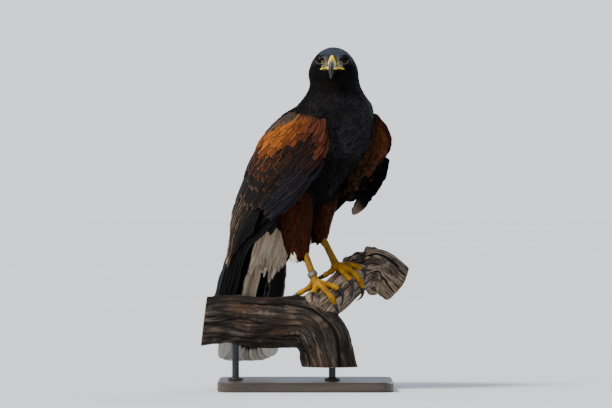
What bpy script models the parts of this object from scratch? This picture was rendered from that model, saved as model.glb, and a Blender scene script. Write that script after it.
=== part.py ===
"""A life-size Harris's hawk that grips a short cut length of driftwood, held by a plain display stand.

The bird is laid out in its own terms, in millimetres: u runs forward from a point between its feet,
v runs to its left, and z is the height above the floor. It is turned on the stand by HEADING,
and the head is turned back to look along -Y. The model itself is in metres, +Z up.
"""

import math
import random

import bmesh
import bpy
from mathutils import Matrix, Vector

MM = 0.001
GAP = 0.35

# The bird on its perch
HEADING = math.radians(42)
FEET_MID = Vector((34, 0, 0))
HEAD_TURN = math.radians(-4)
HEAD_PITCH = math.radians(6)
HEAD_CENTRE = (32, -10.5, 452)

# The body's midline from the rump to the head: u, v, z, half width, half depth, and how far the
# front of each cross-section dips, in degrees
BODY_LINE = [
    (-119, 0, 226, 17, 11, 52),
    (-105, 0, 243, 30, 27, 48),
    (-85, 0, 266, 40, 43, 44),
    (-58, 0, 297, 48, 55, 41),
    (-29, 0, 332, 53, 63, 39),
    (0, 2, 359, 57, 63, 33),
    (17, 2, 381, 57, 59, 20),
    (25, -3, 402, 53, 53, 9),
    (31, -6, 417, 45, 46, 2),
    (34, -9, 432, 37, 38, 0),
    (32, -10, 452, 31, 32, 0),
]
# The long shoulder feathers that lie as a ridge down each side of the back: u, v outward, z, radius
SCAPULAR_LINE = [
    (14, 30, 394, 11),
    (-10, 32, 393, 15),
    (-38, 33, 381, 17),
    (-66, 33, 361, 17.5),
    (-90, 32, 336, 16),
    (-108, 30, 308, 13),
    (-118, 27, 282, 8),
]
NECK_TOP = 430
NECK_BASE = 402
BODY_VOXEL = 2.6
BODY_TRIANGLES = 1700

# The head, in its own frame: x to its left, y forward, z up from HEAD_CENTRE
HEAD_HALF = (34.5, 36, 38)
BROW = (17.5, 23, 24)
EYE = (16.2, 22.5, 18.5)
EYE_RADIUS = 7.2
LID_RADIUS = 8.4
# The yellow rim of the mouth, from the bill to its corner: x, y, z, radius
GAPE = [(4.5, 39, 8.6, 1.8), (8, 33, 7.8, 2.1), (12.5, 26.5, 7.4, 2.0), (16.5, 21, 7.7, 1.4)]

# A folded wing's leading and trailing edges, from the wrist to the wing tip: u, v outward, z
LEADING_EDGE = [
    (62, 53, 388),
    (77, 62, 353),
    (64, 67, 322),
    (38, 70, 296),
    (8, 71, 270),
    (-30, 71, 244),
    (-62, 70, 224),
    (-88, 70, 206),
    (-104, 70, 180),
    (-114, 73, 146),
    (-128, 76, 108),
]
TRAILING_EDGE = [
    (2, 46, 399),
    (-34, 48, 387),
    (-72, 49, 365),
    (-96, 48, 340),
    (-116, 45, 318),
    (-131, 43, 294),
    (-144, 43, 265),
    (-150, 47, 234),
    (-149, 54, 200),
    (-152, 63, 162),
    (-152, 75, 116),
]
WING_BULGE = 13
# The left wing's long feathers are drawn in behind the flank and over the tail
LEFT_LEADING_EDGE = [
    (62, 53, 388),
    (75, 61, 353),
    (52, 62, 322),
    (18, 57, 296),
    (-14, 55, 273),
    (-45, 53, 249),
    (-78, 49, 220),
    (-108, 44, 192),
    (-129, 38, 168),
    (-146, 34, 140),
    (-156, 31, 110),
]
LEFT_TRAILING_EDGE = [
    (2, 46, 399),
    (-34, 48, 387),
    (-72, 49, 365),
    (-96, 48, 340),
    (-116, 45, 318),
    (-131, 42, 294),
    (-146, 38, 265),
    (-157, 33, 234),
    (-163, 26, 200),
    (-168, 20, 162),
    (-171, 17, 120),
]
# The feathered arm's outer height and depth below the wing's surface, from the wrist
ARM_PROFILE = [
    (0.0, -1.5, 3.0),
    (0.03, 3.2, 7.0),
    (0.08, 3.6, 10.0),
    (0.19, 0.8, 10.5),
    (0.27, 0.2, 11.0),
    (0.35, -3.4, 11.5),
    (0.42, -5.0, 11.0),
]

# Tiers of wing feathers: count, half width, height of the tier, then the roots and the tips as places on
# the wing, from the leading edge to the trailing edge
WING_TIERS = {
    "primaries": (8, 12, -8.8, [(0.30, 0.04), (0.32, 0.13), (0.34, 0.24)],
                  [(0.90, 0.04), (0.99, 0.28), (1.04, 0.52), (1.04, 0.76), (0.97, 0.95)]),
    "secondaries": (9, 14.5, -5.0, [(0.31, 0.20), (0.33, 0.55), (0.35, 0.92)],
                    [(0.70, 0.24), (0.80, 0.48), (0.86, 0.72), (0.83, 0.92), (0.66, 1.0)]),
    "greater coverts": (8, 15, -1.3, [(0.19, 0.16), (0.20, 0.54), (0.24, 0.92)],
                        [(0.53, 0.18), (0.53, 0.56), (0.53, 0.97)]),
    "median coverts": (7, 15, 2.3, [(0.05, 0.08), (0.06, 0.46), (0.12, 0.90)],
                       [(0.33, 0.10), (0.37, 0.48), (0.37, 0.94)]),
    "primary coverts": (3, 10, -1.3, [(0.17, 0.0), (0.17, 0.04), (0.18, 0.09)],
                        [(0.43, -0.01), (0.49, 0.03), (0.50, 0.10)]),
}
VANE_THICK = 0.56
LAYER = 1.4
VANE_ROWS = ((0.0, 0.5), (0.33, 0.92), (0.68, 1.0), (0.91, 0.72), (1.0, 0.22))
COVERT_ROWS = ((0.0, 0.6), (0.5, 1.0), (0.87, 0.76), (1.0, 0.24))

# Tail, legs and feet
TAIL_ROOT = (-98, 0, 238)
TAIL_BEND = (-139, 0, 150)
TAIL_TIP = (-164, -4, 37)
# The tail's root: place from root to tip, height, half width and half depth
RUMP = [(0.0, -6, 26, 13), (0.12, -7, 33, 14), (0.28, -7, 31, 11), (0.44, -5, 22, 5)]
TAIL_PAIRS = 6
RECTRIX_HALF = 16
# Tiers of soft feathers below the tail: count, spread at the root and at the tip, start and end
UNDERTAIL_ROWS = ((5, 19, 27, 0.24, 0.60), (5, 24, 33, 0.12, 0.45), (4, 25, 31, 0.03, 0.28))
TOE_RADIUS = 4.0
TARSUS_RADIUS = 4.9
FOOT_RIGHT = (4, -20, 155)
FOOT_LEFT = (5, 20, 177.5)
HOCK_RIGHT = (-28, -26, 227)
HOCK_LEFT = (-37, 15, 242)

# The thighs, from inside the flank to the hem: u, v, z, half width, half depth
THIGHS = {
    "thigh_right": [
        (-40, -25, 318, 24, 34),
        (-38, -28, 290, 27, 38),
        (-34, -28, 258, 25, 33),
        (-30, -27, 232, 21, 26),
        (-28, -26, 205, 15.5, 20),
        (-25, -26, 191, 10, 14),
    ],
    "thigh_left": [
        (-44, 25, 318, 24, 34),
        (-42, 26, 290, 26, 37),
        (-37, 24, 265, 23, 31),
        (-32, 20, 243, 17, 22),
        (-28, 17, 222, 11, 14),
        (-27, 15.5, 212, 7.5, 10),
    ],
}
HEM_LOCKS = 8

# Each toe on the round limb: heading from straight over it, how much the heading bends, the toe's
# length, how far it rises off the bark, its claw's length and how much the claw turns
TOES = {
    "right_middle": (-13, 5, 46, 1.8, 20, 39),
    "right_inner": (30, -16, 33, 0.7, 23, -74),
    "right_outer": (-58, 0, 29, 5.0, 12, 0),
    "right_hind": (222, 20, 33, 6.5, 18, -30),
    "left_inner": (-18, 7, 33, 0.3, 27, -46),
    "left_middle": (14, -22, 54, 1.5, 23, -14),
    "left_outer": (56, -45, 37, 0.2, 15, -79),
    "left_hind": (240, 12, 26, 2.4, 20, -75),
}

# Driftwood perch: world x, y, z and radius of the trunk and of the branch that the feet grip
TRUNK = [
    (-150, -1, 96, 34),
    (-104, -3, 101, 34.5),
    (-66, -5, 100, 36),
    (-28, -10, 97, 37),
    (8, -14, 95, 37),
    (30, -15, 76, 38.5),
    (41, -15, 50, 38),
    (49, -15, 20, 37.5),
]
BRANCH = [
    (12, -18, 104, 26),
    (38, -4, 127.5, 25),
    (67, 21, 151.5, 24.5),
    (96, 42, 173, 28),
    (120, 54, 168, 29),
    (152, 66, 143, 28),
]
GRIP_START = (38, -4, 127.5)
GRIP_END = (67, 21, 151.5)
GRIP_RADIUS = 24.5
# A point on each cut end and the way the cut faces
PERCH_ENDS = (
    ((-137, 0, 99), (-1, 0, 0.12)),
    ((140, 62, 154), (0.8, 0.3, -0.52)),
    ((46, -15, 34), (0, 0, -1)),
)
PERCH_TRIANGLES = 1080
BASE_SIZE = (250, 210)
BASE_CENTRE = (8, 26)
BASE_HEIGHT = 14
ROD_RADIUS = 5


def to_world(point):
    """A point of the bird, in millimetres, as a point of the model in metres."""
    u, v, z = point
    x = FEET_MID.x + u * math.sin(HEADING) + v * math.cos(HEADING)
    y = FEET_MID.y - u * math.cos(HEADING) + v * math.sin(HEADING)
    return Vector((x, y, z)) * MM


def head_to_world(point):
    """A point of the head's own frame as a point of the model."""
    turn = Matrix.Rotation(HEAD_TURN, 3, "Z") @ Matrix.Rotation(HEAD_PITCH, 3, "X")
    x, y, z = point
    return to_world(HEAD_CENTRE) + turn @ Vector((x, -y, z)) * MM


def spline(points, t):
    """A Catmull-Rom curve through points of any dimension, t from 0 to 1, straight beyond its ends."""
    last = len(points) - 1
    place = min(max(t, 0.0), 1.0) * last
    i = min(int(place), last - 1)
    f = place - i
    around = [points[min(max(i + k, 0), last)] for k in (-1, 0, 1, 2)]
    made = []
    for a, b, c, d in zip(*around):
        bend = (2 * b) + (c - a) * f + (2 * a - 5 * b + 4 * c - d) * f**2 + (3 * b - a - 3 * c + d) * f**3
        made.append(bend / 2)
    if 0.0 <= t <= 1.0:
        return made
    ends = (points[0], points[1]) if t < 0 else (points[-2], points[-1])
    beyond = (t if t < 0 else t - 1) * last
    return [m + (q - p) * beyond for m, p, q in zip(made, *ends)]


def mix(a, b, f):
    return [p + (q - p) * f for p, q in zip(a, b)]


def ease(f):
    f = min(max(f, 0.0), 1.0)
    return f * f * (3 - 2 * f)


def material(name, colour, roughness):
    made = bpy.data.materials.new(name)
    made.use_nodes = True
    shader = made.node_tree.nodes["Principled BSDF"]
    shader.inputs["Base Color"].default_value = (*colour, 1)
    shader.inputs["Roughness"].default_value = roughness
    return made


def add_object(name, points, faces):
    """A mesh object in the parts collection, with its faces pointing out."""
    mesh = bpy.data.meshes.new(name)
    mesh.from_pydata(points, [], faces)
    made = bmesh.new()
    made.from_mesh(mesh)
    bmesh.ops.recalc_face_normals(made, faces=made.faces)
    bmesh.ops.triangulate(made, faces=[f for f in made.faces if len(f.verts) > 4])
    made.to_mesh(mesh)
    made.free()
    obj = bpy.data.objects.new(name, mesh)
    PARTS.objects.link(obj)
    return obj


def loft(name, rings):
    """A closed skin over rings of equal counts of points."""
    sides = len(rings[0])
    points = [p for ring in rings for p in ring]
    faces = [list(range(sides))[::-1], [len(points) - sides + i for i in range(sides)]]
    for r in range(len(rings) - 1):
        for i in range(sides):
            a = r * sides + i
            b = r * sides + (i + 1) % sides
            faces.append([a, b, b + sides, a + sides])
    return add_object(name, points, faces)


def ring(centre, side, up, half_side, half_up, sides):
    """An ellipse of points about centre."""
    turns = [2 * math.pi * i / sides for i in range(sides)]
    return [centre + side * (half_side * math.cos(a)) + up * (half_up * math.sin(a)) for a in turns]


def tube(name, line, count, sides, side_hint=Vector((0, 0, 1))):
    """A round tube along a list of (x, y, z, radius) in metres."""
    rings = []
    for k in range(count):
        t = k / (count - 1)
        here = spline(line, t)
        centre = Vector(here[:3])
        ahead = Vector(spline(line, min(t + 0.01, 1))[:3]) - Vector(spline(line, max(t - 0.01, 0))[:3])
        side = ahead.cross(side_hint).normalized()
        up = side.cross(ahead).normalized()
        rings.append(ring(centre, side, up, here[3], here[3], sides))
    return loft(name, rings)


def keep_largest(obj):
    """Drops all but the largest loose piece of a mesh."""
    made = bmesh.new()
    made.from_mesh(obj.data)
    left = set(made.verts)
    islands = []
    while left:
        island, edge = set(), [left.pop()]
        while edge:
            vert = edge.pop()
            island.add(vert)
            near = [e.other_vert(vert) for e in vert.link_edges]
            edge.extend(n for n in near if n in left)
            left.difference_update(near)
        islands.append(island)
    islands.sort(key=len)
    loose = [v for island in islands[:-1] for v in island]
    bmesh.ops.delete(made, geom=loose, context="VERTS")
    made.to_mesh(obj.data)
    made.free()
    return obj


def bake(obj):
    """Applies an object's modifiers to its mesh."""
    graph = bpy.context.evaluated_depsgraph_get()
    mesh = bpy.data.meshes.new_from_object(obj.evaluated_get(graph))
    obj.modifiers.clear()
    obj.data = mesh
    obj.data.name = obj.name
    return obj


def boolean(obj, operation, others, solver="MANIFOLD"):
    """One Boolean of obj with a collection of closed objects, applied, with the others removed."""
    helpers = bpy.data.collections.new(obj.name + " pieces")
    bpy.context.scene.collection.children.link(helpers)
    for other in others:
        for home in list(other.users_collection):
            home.objects.unlink(other)
        helpers.objects.link(other)
    step = obj.modifiers.new(operation.title(), "BOOLEAN")
    step.operation = operation
    step.solver = solver
    step.operand_type = "COLLECTION"
    step.collection = helpers
    bake(obj)
    for other in others:
        bpy.data.objects.remove(other)
    bpy.data.collections.remove(helpers)
    return keep_largest(obj)


def grown(obj, by=GAP):
    """A copy of a closed mesh, its skin moved out by some millimetres, to cut its neighbour clear of it."""
    copy = bpy.data.objects.new(obj.name + " grown", obj.data.copy())
    PARTS.objects.link(copy)
    normals = [v.normal.copy() for v in copy.data.vertices]
    for vert, normal in zip(copy.data.vertices, normals):
        vert.co += normal * (by * MM)
    return copy


def part_plane(obj, point, normal, name):
    """Splits a closed mesh by a plane: obj keeps the side below it, and the rest becomes a new object."""
    upper = bpy.data.objects.new(name, obj.data.copy())
    PARTS.objects.link(upper)
    shift = normal * (GAP * MM / 2)
    trim(obj, point - shift, normal)
    trim(upper, point + shift, -normal)
    return upper


def paint(obj, surface):
    """Gives a solid its one material and smooth shading with sharp edges kept."""
    obj.data.materials.clear()
    obj.data.materials.append(surface)
    obj.data.shade_smooth()
    obj.data.set_sharp_from_angle(angle=math.radians(40))
    return obj


# The body: a soft loft along the midline, with the head blended on


def body_rings():
    rings = []
    steps = 30
    side = (to_world((0, 1, 0)) - to_world((0, 0, 0))).normalized()
    for k in range(steps + 1):
        u, v, z, half_width, half_depth, dip = spline(BODY_LINE, k / steps)
        dip = math.radians(dip)
        front = to_world((math.cos(dip), 0, -math.sin(dip))) - to_world((0, 0, 0))
        centre = to_world((u, v, z))
        rings.append(ring(centre, side, front.normalized(), half_width * MM, half_depth * MM, 28))
    return rings


def head_shape(direction):
    """The head's skin in a unit direction of its own frame: full cheeks, flat crown, brows over the eyes."""
    x, y, z = direction
    wide, deep, tall = HEAD_HALF
    point = Vector((x * wide, y * deep, z * tall))
    face = ease((y - 0.1) / 0.7)
    point.y += 3.5 * face * (1 - abs(x)) * ease((z + 0.75) / 0.9)
    brow = Vector(BROW)
    for sign in (-1, 1):
        ridge = (point - Vector((sign * brow.x, brow.y, brow.z))).length
        point += Vector((sign * 2.6, 2.4, 0.6)) * math.exp(-((ridge / 8.5) ** 2))
        eye = (point - Vector((sign * (EYE[0] + 2), EYE[1] + 2, EYE[2] - 2))).length
        point -= Vector((sign * 2.2, 2.6, 0)) * math.exp(-((eye / 7.5) ** 2))
        lore = (point - Vector((sign * 10, 30, 12))).length
        point -= Vector((sign * 3.4, 0.5, 0)) * math.exp(-((lore / 8) ** 2))
    point.y -= 5 * ease((-z - 0.25) / 0.6) * face
    return point


def head_mesh(name):
    made = bmesh.new()
    bmesh.ops.create_icosphere(made, subdivisions=5, radius=1)
    for vert in made.verts:
        vert.co = head_to_world(head_shape(vert.co))
    mesh = bpy.data.meshes.new(name)
    made.to_mesh(mesh)
    made.free()
    obj = bpy.data.objects.new(name, mesh)
    PARTS.objects.link(obj)
    return obj


def blended(name, pieces, voxel, triangles):
    """Closed pieces melted into one smooth skin and thinned to a count of triangles."""
    whole = pieces[0]
    made = bmesh.new()
    for piece in pieces:
        made.from_mesh(piece.data)
    made.to_mesh(whole.data)
    made.free()
    for piece in pieces[1:]:
        bpy.data.objects.remove(piece)
    whole.name = name
    melt = whole.modifiers.new("Melt", "REMESH")
    melt.mode = "VOXEL"
    melt.voxel_size = voxel * MM
    relax = whole.modifiers.new("Relax", "SMOOTH")
    relax.factor = 0.5
    relax.iterations = 6
    bake(whole)
    thin = whole.modifiers.new("Thin", "DECIMATE")
    thin.ratio = triangles / (2 * len(whole.data.polygons))
    thin.use_collapse_triangulate = True
    bake(whole)
    return keep_largest(whole)


def build_body():
    pieces = [loft("trunk", body_rings()), head_mesh("skull")]
    for side in (-1, 1):
        line = [(*to_world((u, side * v, z)), r * MM) for u, v, z, r in SCAPULAR_LINE]
        pieces.append(tube(f"scapulars {side}", line, 17, 16, Vector((0, 0, 1))))
    torso = blended("torso", pieces, BODY_VOXEL, BODY_TRIANGLES)
    base = to_world((34, -4, NECK_BASE))
    tilt = to_world((20, 0, 100)) - to_world((0, 0, 0))
    neck = part_plane(torso, base, tilt.normalized(), "neck")
    top = to_world((31, -11, NECK_TOP))
    head = part_plane(neck, top, Vector((0, 0, 1)), "head")
    return torso, neck, head


# The face


def ball(name, centre, radius, sides=12, scale=(1, 1, 1)):
    """A sphere, or one squashed along the model's axes."""
    made = bmesh.new()
    bmesh.ops.create_uvsphere(made, u_segments=sides, v_segments=sides * 2 // 3, radius=radius * MM)
    for vert in made.verts:
        vert.co = Vector([c * s for c, s in zip(vert.co, scale)]) + centre
    mesh = bpy.data.meshes.new(name)
    made.to_mesh(mesh)
    made.free()
    obj = bpy.data.objects.new(name, mesh)
    PARTS.objects.link(obj)
    return obj


def head_ring(y, z, half_x, half_z, sides=12, pinch=0.0):
    """A ring across the head's forward axis, pinched towards a ridge on top."""
    made = []
    for i in range(sides):
        a = 2 * math.pi * i / sides
        narrow = 1 - pinch * max(math.sin(a), 0)
        made.append(head_to_world((half_x * narrow * math.cos(a), y, z + half_z * math.sin(a))))
    return made


def build_eyes(head):
    """Two eyes, each in a socket with a raised lid round it."""
    eyes = []
    sockets = []
    lids = []
    for name, sign in (("eye_left", 1), ("eye_right", -1)):
        centre = head_to_world((sign * EYE[0], EYE[1], EYE[2]))
        eyes.append(ball(name, centre, EYE_RADIUS, 15))
        sockets.append(ball(name + " socket", centre, EYE_RADIUS + GAP, 15))
        look = (head_to_world((sign * (EYE[0] + 6), EYE[1] + 7.5, EYE[2])) - centre).normalized()
        lids.append(lid(centre, look, name + " lid"))
    boolean(head, "UNION", lids)
    boolean(head, "DIFFERENCE", sockets)
    return eyes


def lid(centre, look, name):
    """A ring of skin round the front of an eye."""
    side = look.cross(Vector((0, 0, 1))).normalized()
    up = side.cross(look).normalized()
    sides, thick = 12, 1.7
    rings = []
    for i in range(sides):
        a = 2 * math.pi * i / sides
        out = side * math.cos(a) + up * (math.sin(a) * 0.86)
        middle = centre + look * (3.1 * MM) + out * ((LID_RADIUS - 1.7) * MM)
        turns = [2 * math.pi * k / 5 for k in range(5)]
        rings.append([middle + (out * math.cos(b) + look * math.sin(b)) * (thick * MM) for b in turns])
    points = [p for r in rings for p in r]
    faces = []
    for i in range(sides):
        for k in range(5):
            a = i * 5 + k
            b = i * 5 + (k + 1) % 5
            c = (i + 1) % sides * 5 + (k + 1) % 5
            d = (i + 1) % sides * 5 + k
            faces.append([a, b, c, d])
    return add_object(name, points, faces)


def build_bill(head):
    """Cere with nostrils and gape, hooked upper bill, and lower bill, parted by the line of the mouth."""
    cere = loft("cere", [
        head_ring(20, 15.5, 9.5, 12, pinch=0.2),
        head_ring(30, 17.2, 8.2, 11.3, pinch=0.25),
        head_ring(37, 17.4, 6.9, 10.9, pinch=0.3),
        head_ring(41.5, 16.0, 6.3, 9.8, pinch=0.3),
    ])
    rims = []
    for sign in (-1, 1):
        line = [(*head_to_world((sign * x, y, z)), r * MM) for x, y, z, r in GAPE]
        rims.append(tube(f"rim {sign}", line, 6, 6))
    boolean(cere, "UNION", rims)
    mouth = box_between("mouth", (-20, 14, -6), (20, 46, 6.2))
    nostrils = [ball(f"nostril {s}", head_to_world((s * 7.2, 37, 19)), 1.5, 8) for s in (-1, 1)]
    upper = loft("bill_upper", [
        head_ring(41.5 + GAP, 16.0, 6.1, 9.5, pinch=0.35),
        head_ring(46, 15.2, 5.6, 8.9, pinch=0.4),
        head_ring(51, 12.6, 4.9, 7.8, pinch=0.4),
        head_ring(55.5, 8.5, 3.9, 6.5, pinch=0.4),
        head_ring(58.5, 4.6, 2.7, 4.4, pinch=0.3),
        head_ring(60, 0.7, 1.2, 2.3),
    ])
    lower = loft("bill_lower", [
        head_ring(20, 2.5, 9.2, 4.2),
        head_ring(32, 2.6, 7.2, 4.0),
        head_ring(42, 2.8, 4.9, 3.4),
        head_ring(49, 3.4, 3.0, 2.2),
        head_ring(52, 4.0, 1.6, 1.2),
    ])
    boolean(cere, "DIFFERENCE", [mouth, *nostrils])
    palate = loft("palate", [
        head_ring(40, 1.6, 12, 5.2),
        head_ring(49, 2.2, 9, 4.6),
        head_ring(54.5, 1.2, 6, 3.2),
    ])
    boolean(upper, "DIFFERENCE", [palate])
    boolean(cere, "DIFFERENCE", [grown(head)])
    boolean(lower, "DIFFERENCE", [grown(head), grown(cere), grown(upper)])
    return cere, upper, lower


def box_between(name, low, high):
    """A box in the head's frame."""
    corners = [(x, y, z) for x in (low[0], high[0]) for y in (low[1], high[1]) for z in (low[2], high[2])]
    faces = [(0, 1, 3, 2), (4, 6, 7, 5), (0, 4, 5, 1), (2, 3, 7, 6), (0, 2, 6, 4), (1, 5, 7, 3)]
    return add_object(name, [head_to_world(c) for c in corners], faces)


# The wings: one curved patch for each, on which every tier of feathers lies


def wing_patch(side, t, c, tucked=True):
    """A point on a wing: t from wrist to tip, c from leading to trailing edge; side is -1 on the right."""
    edges = (LEFT_LEADING_EDGE, LEFT_TRAILING_EDGE) if side > 0 and tucked else (LEADING_EDGE, TRAILING_EDGE)
    u, v, z = mix(spline(edges[0], t), spline(edges[1], t), c)
    arch = max(1 - (2 * c - 1) ** 2, -0.3)
    v += WING_BULGE * arch * (1 - 0.75 * ease(t / 0.9))
    return Vector((u, side * v, z))


def wing_frame(side, t, c, tucked=True):
    """The patch's point, its two slopes and its outward normal, in the bird's terms."""
    step = 0.01
    here = wing_patch(side, t, c, tucked)
    along = (wing_patch(side, t + step, c, tucked) - wing_patch(side, t - step, c, tucked)) / (2 * step)
    across = (wing_patch(side, t, c + step, tucked) - wing_patch(side, t, c - step, tucked)) / (2 * step)
    normal = along.cross(across).normalized()
    if normal.y * side < 0:
        normal.negate()
    return here, along, across, normal


def on_wing(side, t, c, height, tucked=True):
    here, _, _, normal = wing_frame(side, t, c, tucked)
    return here + normal * height


def wing_arm(side, name):
    """The feathered arm and hand: a thick pad that thins out where the long feathers leave it."""
    rows, columns = 8, 8
    outer, inner = [], []
    for i in range(rows):
        place = ARM_PROFILE[-1][0] * (i / (rows - 1)) ** 1.25
        for k in range(columns):
            c = k / (columns - 1)
            after = max(n for n, row in enumerate(ARM_PROFILE[:-1]) if row[0] <= place)
            low, high = ARM_PROFILE[after], ARM_PROFILE[after + 1]
            _, out, depth = mix(low, high, (place - low[0]) / (high[0] - low[0]))
            edge = math.sqrt(max(1 - (2 * c - 1) ** 2, 0.0))
            fade = (1 - ease((place - 0.16) / 0.26)) * math.sqrt(min(1, 0.25 + place / 0.08))
            out -= 2.2 * (1 - edge) * (1 - ease(place / 0.3))
            depth += 15 * edge * fade * ease(c / 0.45)
            if side > 0:
                depth += 15 * ease((place - 0.1) / 0.2) * (1 - c)
            outer.append(to_world(on_wing(side, place, c, out, False)))
            inner.append(to_world(on_wing(side, place, c, -depth, False)))
    return closed_sheet(name, outer, inner, rows, columns)


def step_on_wing(side, t, c, direction, distance, tucked):
    """The place on a wing that lies some millimetres off in a direction along its surface."""
    _, along, across, _ = wing_frame(side, t, c, tucked)
    aa, ac, cc = along.dot(along), along.dot(across), across.dot(across)
    da, dc = direction.dot(along) * distance, direction.dot(across) * distance
    base = aa * cc - ac * ac
    return t + (da * cc - dc * ac) / base, c + (dc * aa - da * ac) / base


def wing_tier(side, name):
    """One tier of a wing: vanes that fan out and overlap like tiles, the ones nearer the back on top."""
    count, half_width, level, roots, tips = WING_TIERS[name]
    tucked = name != "primary coverts"

    def place(i, b):
        f = i / (count - 1)
        return mix(spline(roots, f), spline(tips, f), b)

    rows = COVERT_ROWS if name.endswith("coverts") else VANE_ROWS
    vanes = []
    for i in range(count):
        stretch = 1 + random.uniform(-0.025, 0.015)
        wide = half_width * random.uniform(0.94, 1.05)
        top, bottom = [], []
        for b, shape in rows:
            t, c = place(i, b * stretch)
            here, along, across, normal = wing_frame(side, t, c, tucked)
            t_ahead, c_ahead = place(i, b * stretch + 0.02)
            ahead = (wing_patch(side, t_ahead, c_ahead, tucked) - here).normalized()
            lateral = normal.cross(ahead).normalized()
            if lateral.dot(across) < 0:
                lateral.negate()
            gaps = []
            for k in (-1, 1):
                t_next, c_next = place(i + k, b * stretch)
                gap = (wing_patch(side, t_next, c_next, tucked) - here).dot(lateral) * k
                gaps.append(max(gap, 2.5))
            lift = -2.0 * (1 - ease(b / 0.3))
            for x in (-min(wide * shape, 0.97 * gaps[0]), min(wide * shape, 0.97 * gaps[1])):
                shift = -LAYER * x / gaps[x > 0]
                tt, cc = step_on_wing(side, t, c, lateral, x, tucked)
                height = level + lift + shift
                top.append(to_world(on_wing(side, tt, cc, height, tucked)))
                bottom.append(to_world(on_wing(side, tt, cc, height - VANE_THICK, tucked)))
        vanes.append(closed_sheet(f"{name} {i}", top, bottom, len(rows), 2))
    return vanes


def build_wing(side, name):
    arm = wing_arm(side, name)
    vanes = [vane for tier in WING_TIERS for vane in wing_tier(side, tier)]
    return boolean(arm, "UNION", vanes)


def closed_sheet(name, outer, inner, rows, columns):
    """Two grids of points as the faces of one closed body, split into the same triangles on both."""
    points = outer + inner
    shift = rows * columns
    faces = []
    for r in range(rows - 1):
        for k in range(columns - 1):
            a = r * columns + k
            b, c, d = a + 1, a + columns + 1, a + columns
            faces += [(a, b, c), (a, c, d)]
            faces += [(c + shift, b + shift, a + shift), (d + shift, c + shift, a + shift)]
    rim = [k for k in range(columns)]
    rim += [r * columns + columns - 1 for r in range(1, rows)]
    rim += [(rows - 1) * columns + k for k in range(columns - 2, -1, -1)]
    rim += [r * columns for r in range(rows - 2, 0, -1)]
    for a, b in zip(rim, rim[1:] + rim[:1]):
        faces += [(a, a + shift, b + shift), (a, b + shift, b)]
    return add_object(name, points, faces)


# The tail


def tail_point(x, b, height):
    """A point on the tail: x across it in millimetres, b from root to tip, height to its upper side."""
    line = [TAIL_ROOT, TAIL_BEND, TAIL_TIP]
    here = Vector(spline(line, b))
    ahead = Vector(spline(line, b + 0.01)) - Vector(spline(line, b - 0.01))
    back = Vector((ahead.z, 0, -ahead.x)).normalized()
    if back.x > 0:
        back.negate()
    return here + Vector((0, 1, 0)) * x + back * (height - 0.0016 * x * x)


def tail_vane(name, half, level, start, end, middles, rows=VANE_ROWS):
    """A vane along the tail: its start and end, and how far out its middle lies at its root and tip."""
    top, bottom = [], []
    for b, shape in rows:
        along = start + (end - start) * b
        middle = middles[0] + (middles[1] - middles[0]) * b
        for x in (-half * shape, half * shape):
            top.append(to_world(tail_point(middle + x, along, level)))
            bottom.append(to_world(tail_point(middle + x, along, level - VANE_THICK)))
    return closed_sheet(name, top, bottom, len(rows), 2)


def build_tail():
    """The tail's root with its long feathers stacked under the middle pair, and the soft coverts below."""
    rings = []
    side = (to_world((0, 1, 0)) - to_world((0, 0, 0))).normalized()
    for k in range(7):
        b, height, half_width, half_depth = spline(RUMP, k / 6)
        up = (to_world(tail_point(0, b, 1)) - to_world(tail_point(0, b, 0))).normalized()
        centre = to_world(tail_point(0, b, height))
        rings.append(ring(centre, side, up, half_width * MM, half_depth * MM, 16))
    tail = loft("tail", rings)
    vanes = []
    for pair in range(TAIL_PAIRS):
        f = pair / (TAIL_PAIRS - 1)
        for sign in (-1, 1):
            level = -2 * LAYER * pair - (LAYER if sign > 0 else 0)
            end = 1.0 - 0.06 * f * f + random.uniform(-0.008, 0.004)
            middles = (sign * (1.5 + 17 * f), sign * (2.5 + 30 * f))
            vanes.append(tail_vane(f"rectrix {pair} {sign}", RECTRIX_HALF, level, 0.26, end, middles))
    under = -2 * LAYER * TAIL_PAIRS
    for tier, (count, near, far, start, end) in enumerate(UNDERTAIL_ROWS):
        for k in range(count):
            f = 2 * k / (count - 1) - 1
            level = under - 3.2 * tier - 1.3 * (k % 2)
            stop = end - 0.07 * f * f + random.uniform(-0.02, 0.02)
            name = f"undertail {tier} {k}"
            vanes.append(tail_vane(name, 10.5, level, start, stop, (near * f, far * f), COVERT_ROWS))
    return boolean(tail, "UNION", vanes)


# Legs, feet and claws


def thigh_point(line, t, angle, lift):
    """A point on a thigh: t from the flank to the hem, an angle round it, and the height off its skin."""
    u, v, z, half_width, half_depth = spline(line, t)
    ahead = (half_depth + lift) * math.sin(angle)
    outward = (half_width + lift) * math.cos(angle)
    return to_world((u + ahead, v + outward, z))


def thigh_body(name, line, swell=0.0):
    """The feathered thigh, from inside the flank to the hock."""
    sides, count = 14, 8
    turns = [2 * math.pi * i / sides for i in range(sides)]
    return loft(name, [[thigh_point(line, k / (count - 1), a, swell) for a in turns] for k in range(count)])


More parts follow.
